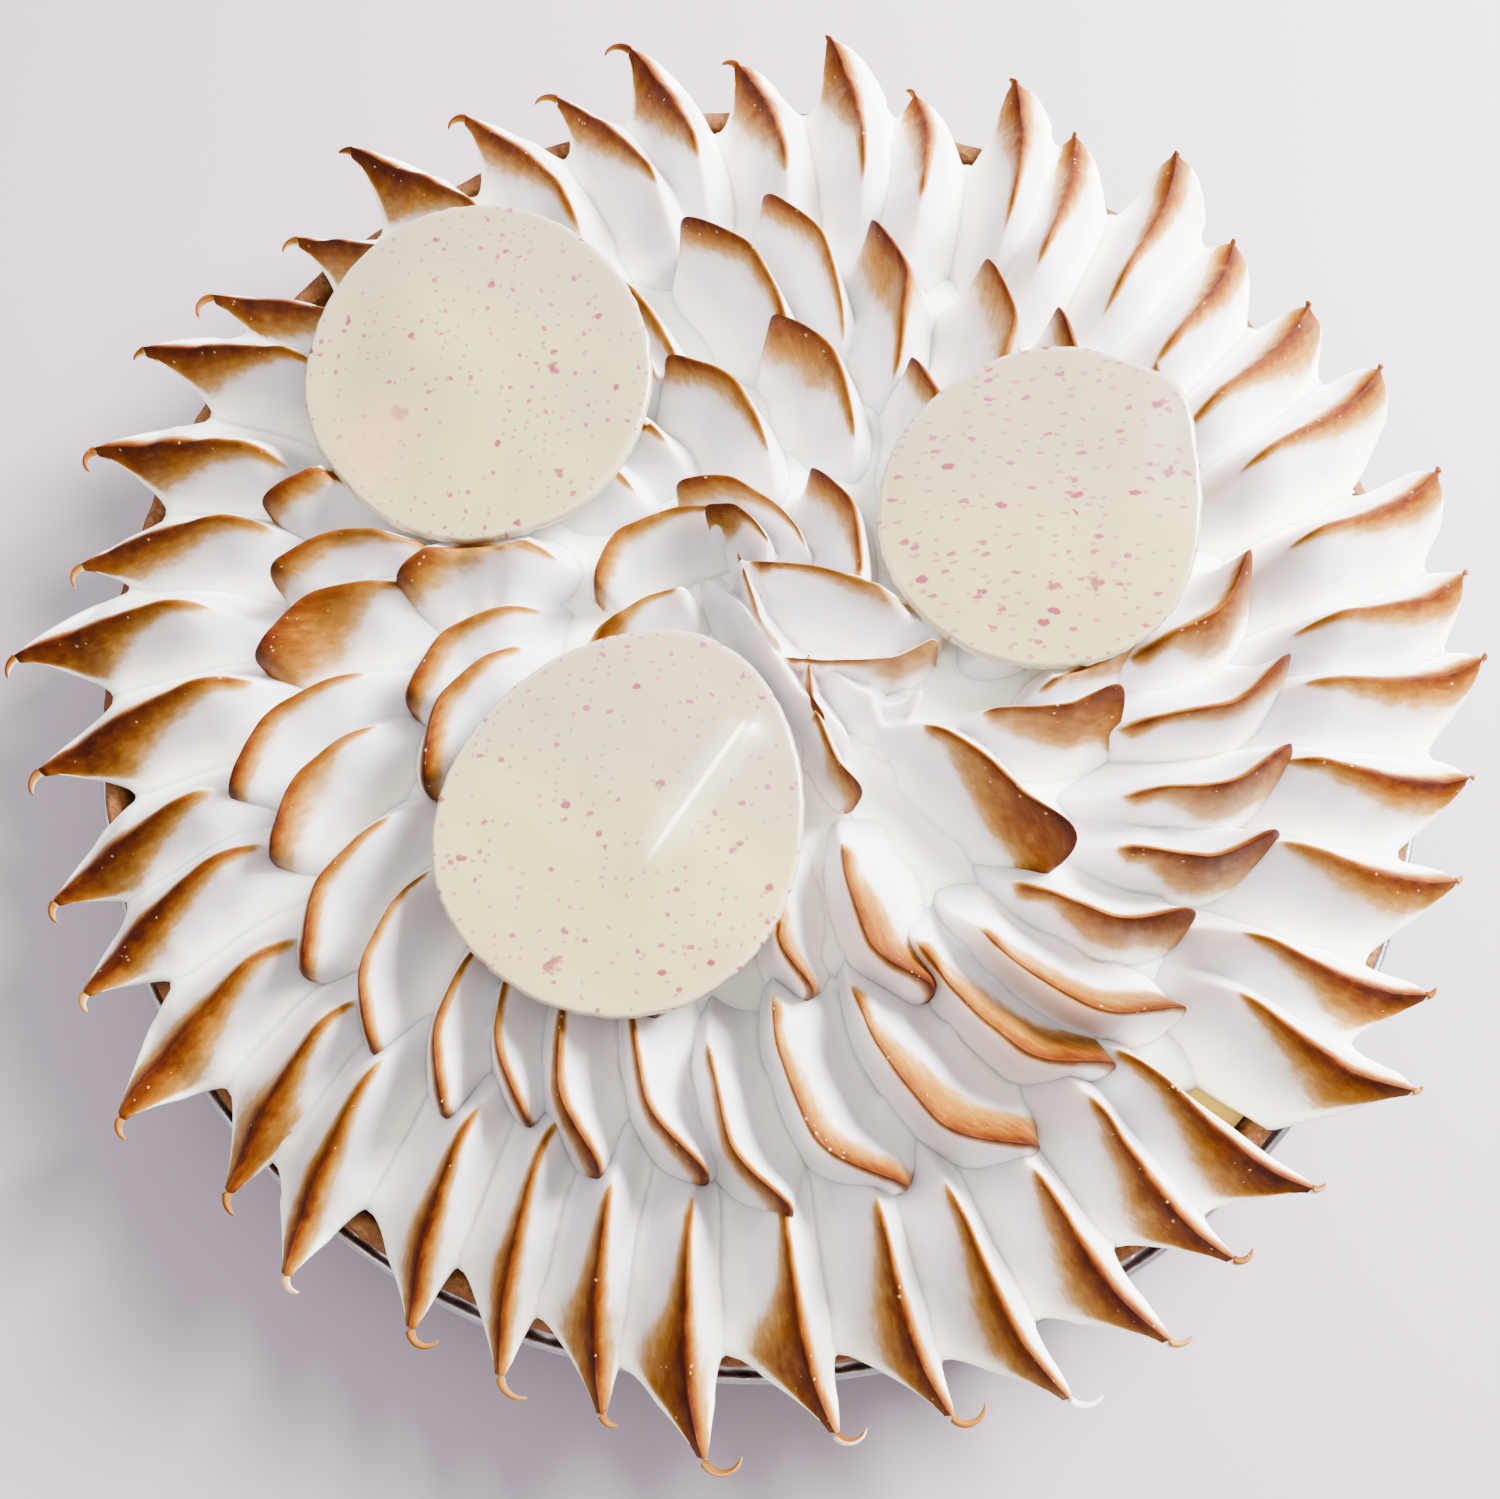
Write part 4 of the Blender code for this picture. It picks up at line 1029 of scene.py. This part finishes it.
def make_turned(name, profile, sides, material, node):
    """A turned piece: profile gives rows of (radius, level), each a number or one for each side.
    The first and last rows close on the axis."""
    angle = np.arange(sides) * math.tau / sides
    rows = [np.stack([radius * np.cos(angle), radius * np.sin(angle), level + 0 * angle], -1)
            for radius, level in profile(angle)]
    make_piece(name, np.array(rows), material, node)


FLOOR_RADIUS = 60 * MM                                   # where a floor becomes one flat disc
CRUST_UNDER, CRUST_FLOOR = 0.95 * MM, 4.9 * MM
CRUST_LEDGE = 19.0 * MM                                  # where the shell stands on the flange


def crust_profile(angle):
    """Underside, rough side wall, knife-trimmed jagged top, then down inside and the floor."""
    trim = 0.30 * MM * ring_wander(angle, 21, 9, 60, 0.5) + 0.25 * MM * ring_wander(angle, 22, 3, 12)
    top = CRUST_HIGH - 0.5 * MM
    rows = [(FLOOR_RADIUS, CRUST_UNDER), (103.0 * MM, CRUST_UNDER), (111.4 * MM, 18.9 * MM)]
    for step in range(9):
        rise = step / 8
        level = CRUST_LEDGE + rise * (top - 0.5 * MM - CRUST_LEDGE) + trim * rise
        bulge = 0.5 * MM * math.sin(math.pi * rise)
        turned = angle + 0.02 * math.sin(5 * rise)
        wave = 0.28 * MM * ring_wander(turned, 30 + step // 2, 12, 130, 0.3)
        rows.append((CRUST_RADIUS - 0.8 * MM + bulge + wave, level))
    wave = 0.22 * MM * ring_wander(angle, 23, 20, 150, 0.4)
    rows += [(CRUST_RADIUS - 0.9 * MM + wave, top + trim),
             (CRUST_RADIUS - 2.0 * MM, top + 0.35 * MM + trim + wave),
             (CRUST_RADIUS - 3.2 * MM, top + 0.1 * MM + trim - wave),
             (CRUST_RADIUS - 4.1 * MM, top - 0.6 * MM + trim),
             (113.0 * MM, 25.0 * MM), (99.6 * MM, CRUST_FLOOR), (FLOOR_RADIUS, CRUST_FLOOR)]
    return rows


def pleat(angle, count):
    """A crisp fold repeated round the rim, from -1 to 1."""
    wave = np.sin(count * angle + 0.9 * np.sin(7 * angle))
    return np.sign(wave) * np.abs(wave) ** 0.6


FLANGE = 18.0 * MM                                       # level of the tin's flange
FOIL = 0.35 * MM
PLEATS = 120
BEAD_RADIUS = 0.85 * MM
# The flange from the wall to the bead: radius, and how deep the pleats still are in it, in mm
FLANGE_OUT = (113.5, 0.22), (115.5, 0.28), (117.5, 0.24), (118.4, 0.1)
FLANGE_BACK = (118.1, 0.1), (117.5, 0.24), (115.5, 0.28), (113.5, 0.22)


def tin_profile(angle):
    """Outside up the pleated wall to the flange and round the bead, then back down inside."""
    fold = pleat(angle, PLEATS) * (1 + 0.25 * ring_wander(angle, 41, 5, 40))
    rises = [step / 6 for step in range(1, 7)]
    rows = [(FLOOR_RADIUS, 0.0), (102.5 * MM, 0.0), (104.2 * MM, 0.5 * MM)]
    rows += [((104 + 8.4 * rise) * MM + 0.45 * MM * fold * min(rise * 2, 1), 17.8 * MM * rise)
             for rise in rises]
    rows += [(radius * MM, FLANGE + amount * MM * fold) for radius, amount in FLANGE_OUT]
    dent = 0.10 * MM * ring_wander(angle, 44, 6, 50, 0.6)
    middle = TIN_RADIUS - 0.95 * MM
    for step in range(9):
        turn = math.radians(-110 + 32 * step)
        rows.append((middle + BEAD_RADIUS * math.cos(turn) + dent,
                     18.45 * MM + BEAD_RADIUS * math.sin(turn) + dent))
    rows += [(radius * MM, FLANGE + FOIL + amount * MM * fold) for radius, amount in FLANGE_BACK]
    rows += [((104 + 8.4 * rise) * MM - FOIL + 0.45 * MM * fold * min(rise * 2, 1),
              FOIL + 17.6 * MM * rise) for rise in reversed(rises)]
    return rows + [(103.4 * MM, FOIL), (FLOOR_RADIUS, FOIL)]


# An oval's section: share of the way out and level in mm, along the underside, round the rim and
# back over the top.
OVAL_SECTION = (
    [(share, 0.0) for share in (0.5, 0.8, 0.93)]
    + [(0.984, 0.0), (0.994, 0.12), (1.0, 0.45), (1.0, 1.2), (0.998, 1.75), (0.990, 2.08)]
    + [(share, OVAL_THICK) for share in (0.978, 0.955, 0.92, 0.87, 0.81, 0.74, 0.66, 0.57, 0.48,
                                         0.38, 0.28, 0.18, 0.08)])


def oval_rows(oval):
    """The section carried round the outline: the rim is a little torn, the top softly uneven."""
    angle = np.arange(240) * math.tau / 240
    ragged = 0.16 * MM * ring_wander(angle, 60 + oval.seed, 16, 90, 0.35) / oval.half_length
    rows = []
    for share, level in OVAL_SECTION:
        on_top = smooth(1.0, OVAL_THICK, level)
        torn = 1 + ragged * smooth(0.9, 0.98, share) * (1 - on_top * 0.4)
        point = oval_point(oval, share * torn, angle, level * MM)
        x, y = point[:, 0] - oval.x, point[:, 1] - oval.y
        wave = 0.35 * MM * wander(x, y, oval.seed, 30 * MM, 2)
        if oval is FOLDED:
            wave = wave + crease(x, y)
        if oval is SWOLLEN:
            far = ((x + 12 * MM) / (9 * MM)) ** 2 + ((y - 2 * MM) / (7 * MM)) ** 2
            wave = wave + 0.8 * MM * np.exp(-far)
        point[:, 2] += on_top * wave * (0.25 + 0.75 * smooth(1.0, 0.8, share))
        rows.append(point)
    return np.array(rows)


def crease(x, y):
    """A straight low fold across the plate: its crest runs between two places and fades out."""
    start, end = np.array(CREASE) * MM
    line = end - start
    length = np.hypot(*line)
    along = ((x - start[0]) * line[0] + (y - start[1]) * line[1]) / length
    aside = ((x - start[0]) * -line[1] + (y - start[1]) * line[0]) / length
    fade = smooth(-6 * MM, 2 * MM, along) * (1 - smooth(length, length + 12 * MM, along))
    return 1.2 * MM * fade * np.exp(-np.abs(aside) / (4.0 * MM))


def make_oval(oval, material):
    """One oval, with how near its rim each point is."""
    rows = oval_rows(oval)
    middle = rows[-1].mean(0)
    share = np.hypot(rows[..., 0] - middle[0], rows[..., 1] - middle[1])
    # rim: where the material paints a pale edge glow.
    rim = smooth(0.955, 0.99, share / share.max(0))
    make_piece(oval.name + "_plate", rows, material, oval.name,
               {"rim": np.concatenate([rim.ravel(), [0, 0]])})


# --------------------------------------------------------------------------- build

meringue = meringue_material()
make_crown("meringue_outer", OUTER_PETALS, 101, 50, 10, meringue)
make_crown("meringue_second", SECOND_PETALS, 102, 46, 0, meringue)
make_crown("meringue_third", THIRD_PETALS, 103, 50, 0, meringue)
make_crown("meringue_swirl", SWIRL, 104, 56, 0, meringue, bed=True)
make_turned("pastry_shell", crust_profile, 720, pastry_material(), "crust")
make_turned("foil_tin", tin_profile, 1440, foil_material(), "tin")
for oval, berries in zip(OVALS, BERRIES):
    make_oval(oval, chocolate_material(oval, berries))

filling = frame["nodes"]["filling"]
filling.data.materials.clear()
filling.data.materials.append(curd_material())

# --------------------------------------------------------------------------- floor, light, camera

def floor_material():
    """Matt, pale and a little lilac, in slow clouds."""
    material, tree, shader = new_material("floor")
    place_in = add(tree, "ShaderNodeTexCoord").outputs["Object"]
    cloud = noise(tree, place_in, 8.0)
    tree.links.new(mix_colour(tree, cloud, (0.32, 0.272, 0.324), (0.36, 0.306, 0.36)),
                   shader.inputs["Base Color"])
    shader.inputs["Roughness"].default_value = 0.7
    return material


bpy.ops.mesh.primitive_plane_add(size=4.0, location=(0, 0, 0))
floor = bpy.context.object
floor.name = "floor"
floor.data.materials.append(floor_material())

# The camera's place, the way it looks, and the way to its right
CAMERA_AT = Vector((0.9, -93.8, 296.2)) * MM
CAMERA_LOOK = Vector((-0.0083, 0.2805, -0.9598))
CAMERA_RIGHT = Vector((1.0, 0.0012, -0.0083)).normalized()
camera = bpy.data.objects.new("camera", bpy.data.cameras.new("camera"))
bpy.context.scene.collection.objects.link(camera)
up = CAMERA_RIGHT.cross(CAMERA_LOOK).normalized()
turn = Matrix((CAMERA_RIGHT, up, -CAMERA_LOOK)).transposed()
camera.matrix_world = Matrix.Translation(CAMERA_AT) @ turn.to_4x4()
camera.data.lens = 38.4
camera.data.sensor_width = 36.0
camera.data.clip_start = 0.01
bpy.context.scene.camera = camera


def area_light(name, place_at, target, size, power, colour):
    """A square lamp aimed at a target."""
    light = bpy.data.lights.new(name, "AREA")
    light.size = size
    light.energy = power
    light.color = colour
    item = bpy.data.objects.new(name, light)
    bpy.context.scene.collection.objects.link(item)
    item.location = place_at
    item.rotation_euler = (Vector(target) - Vector(place_at)).to_track_quat("-Z", "Y").to_euler()


area_light("key", (0.50, 0.30, 0.50), (0, 0, 0.03), 0.30, 60.0, (1.0, 0.985, 0.96))
area_light("fill", (-0.2, 0.25, 0.8), (0, 0, 0.03), 0.8, 5.5, (1.0, 0.97, 0.97))
world = bpy.data.worlds.new("studio")
bpy.context.scene.world = world
world.use_nodes = True
world.node_tree.nodes["Background"].inputs[0].default_value = (1.0, 0.955, 0.94, 1.0)
world.node_tree.nodes["Background"].inputs[1].default_value = 1.24
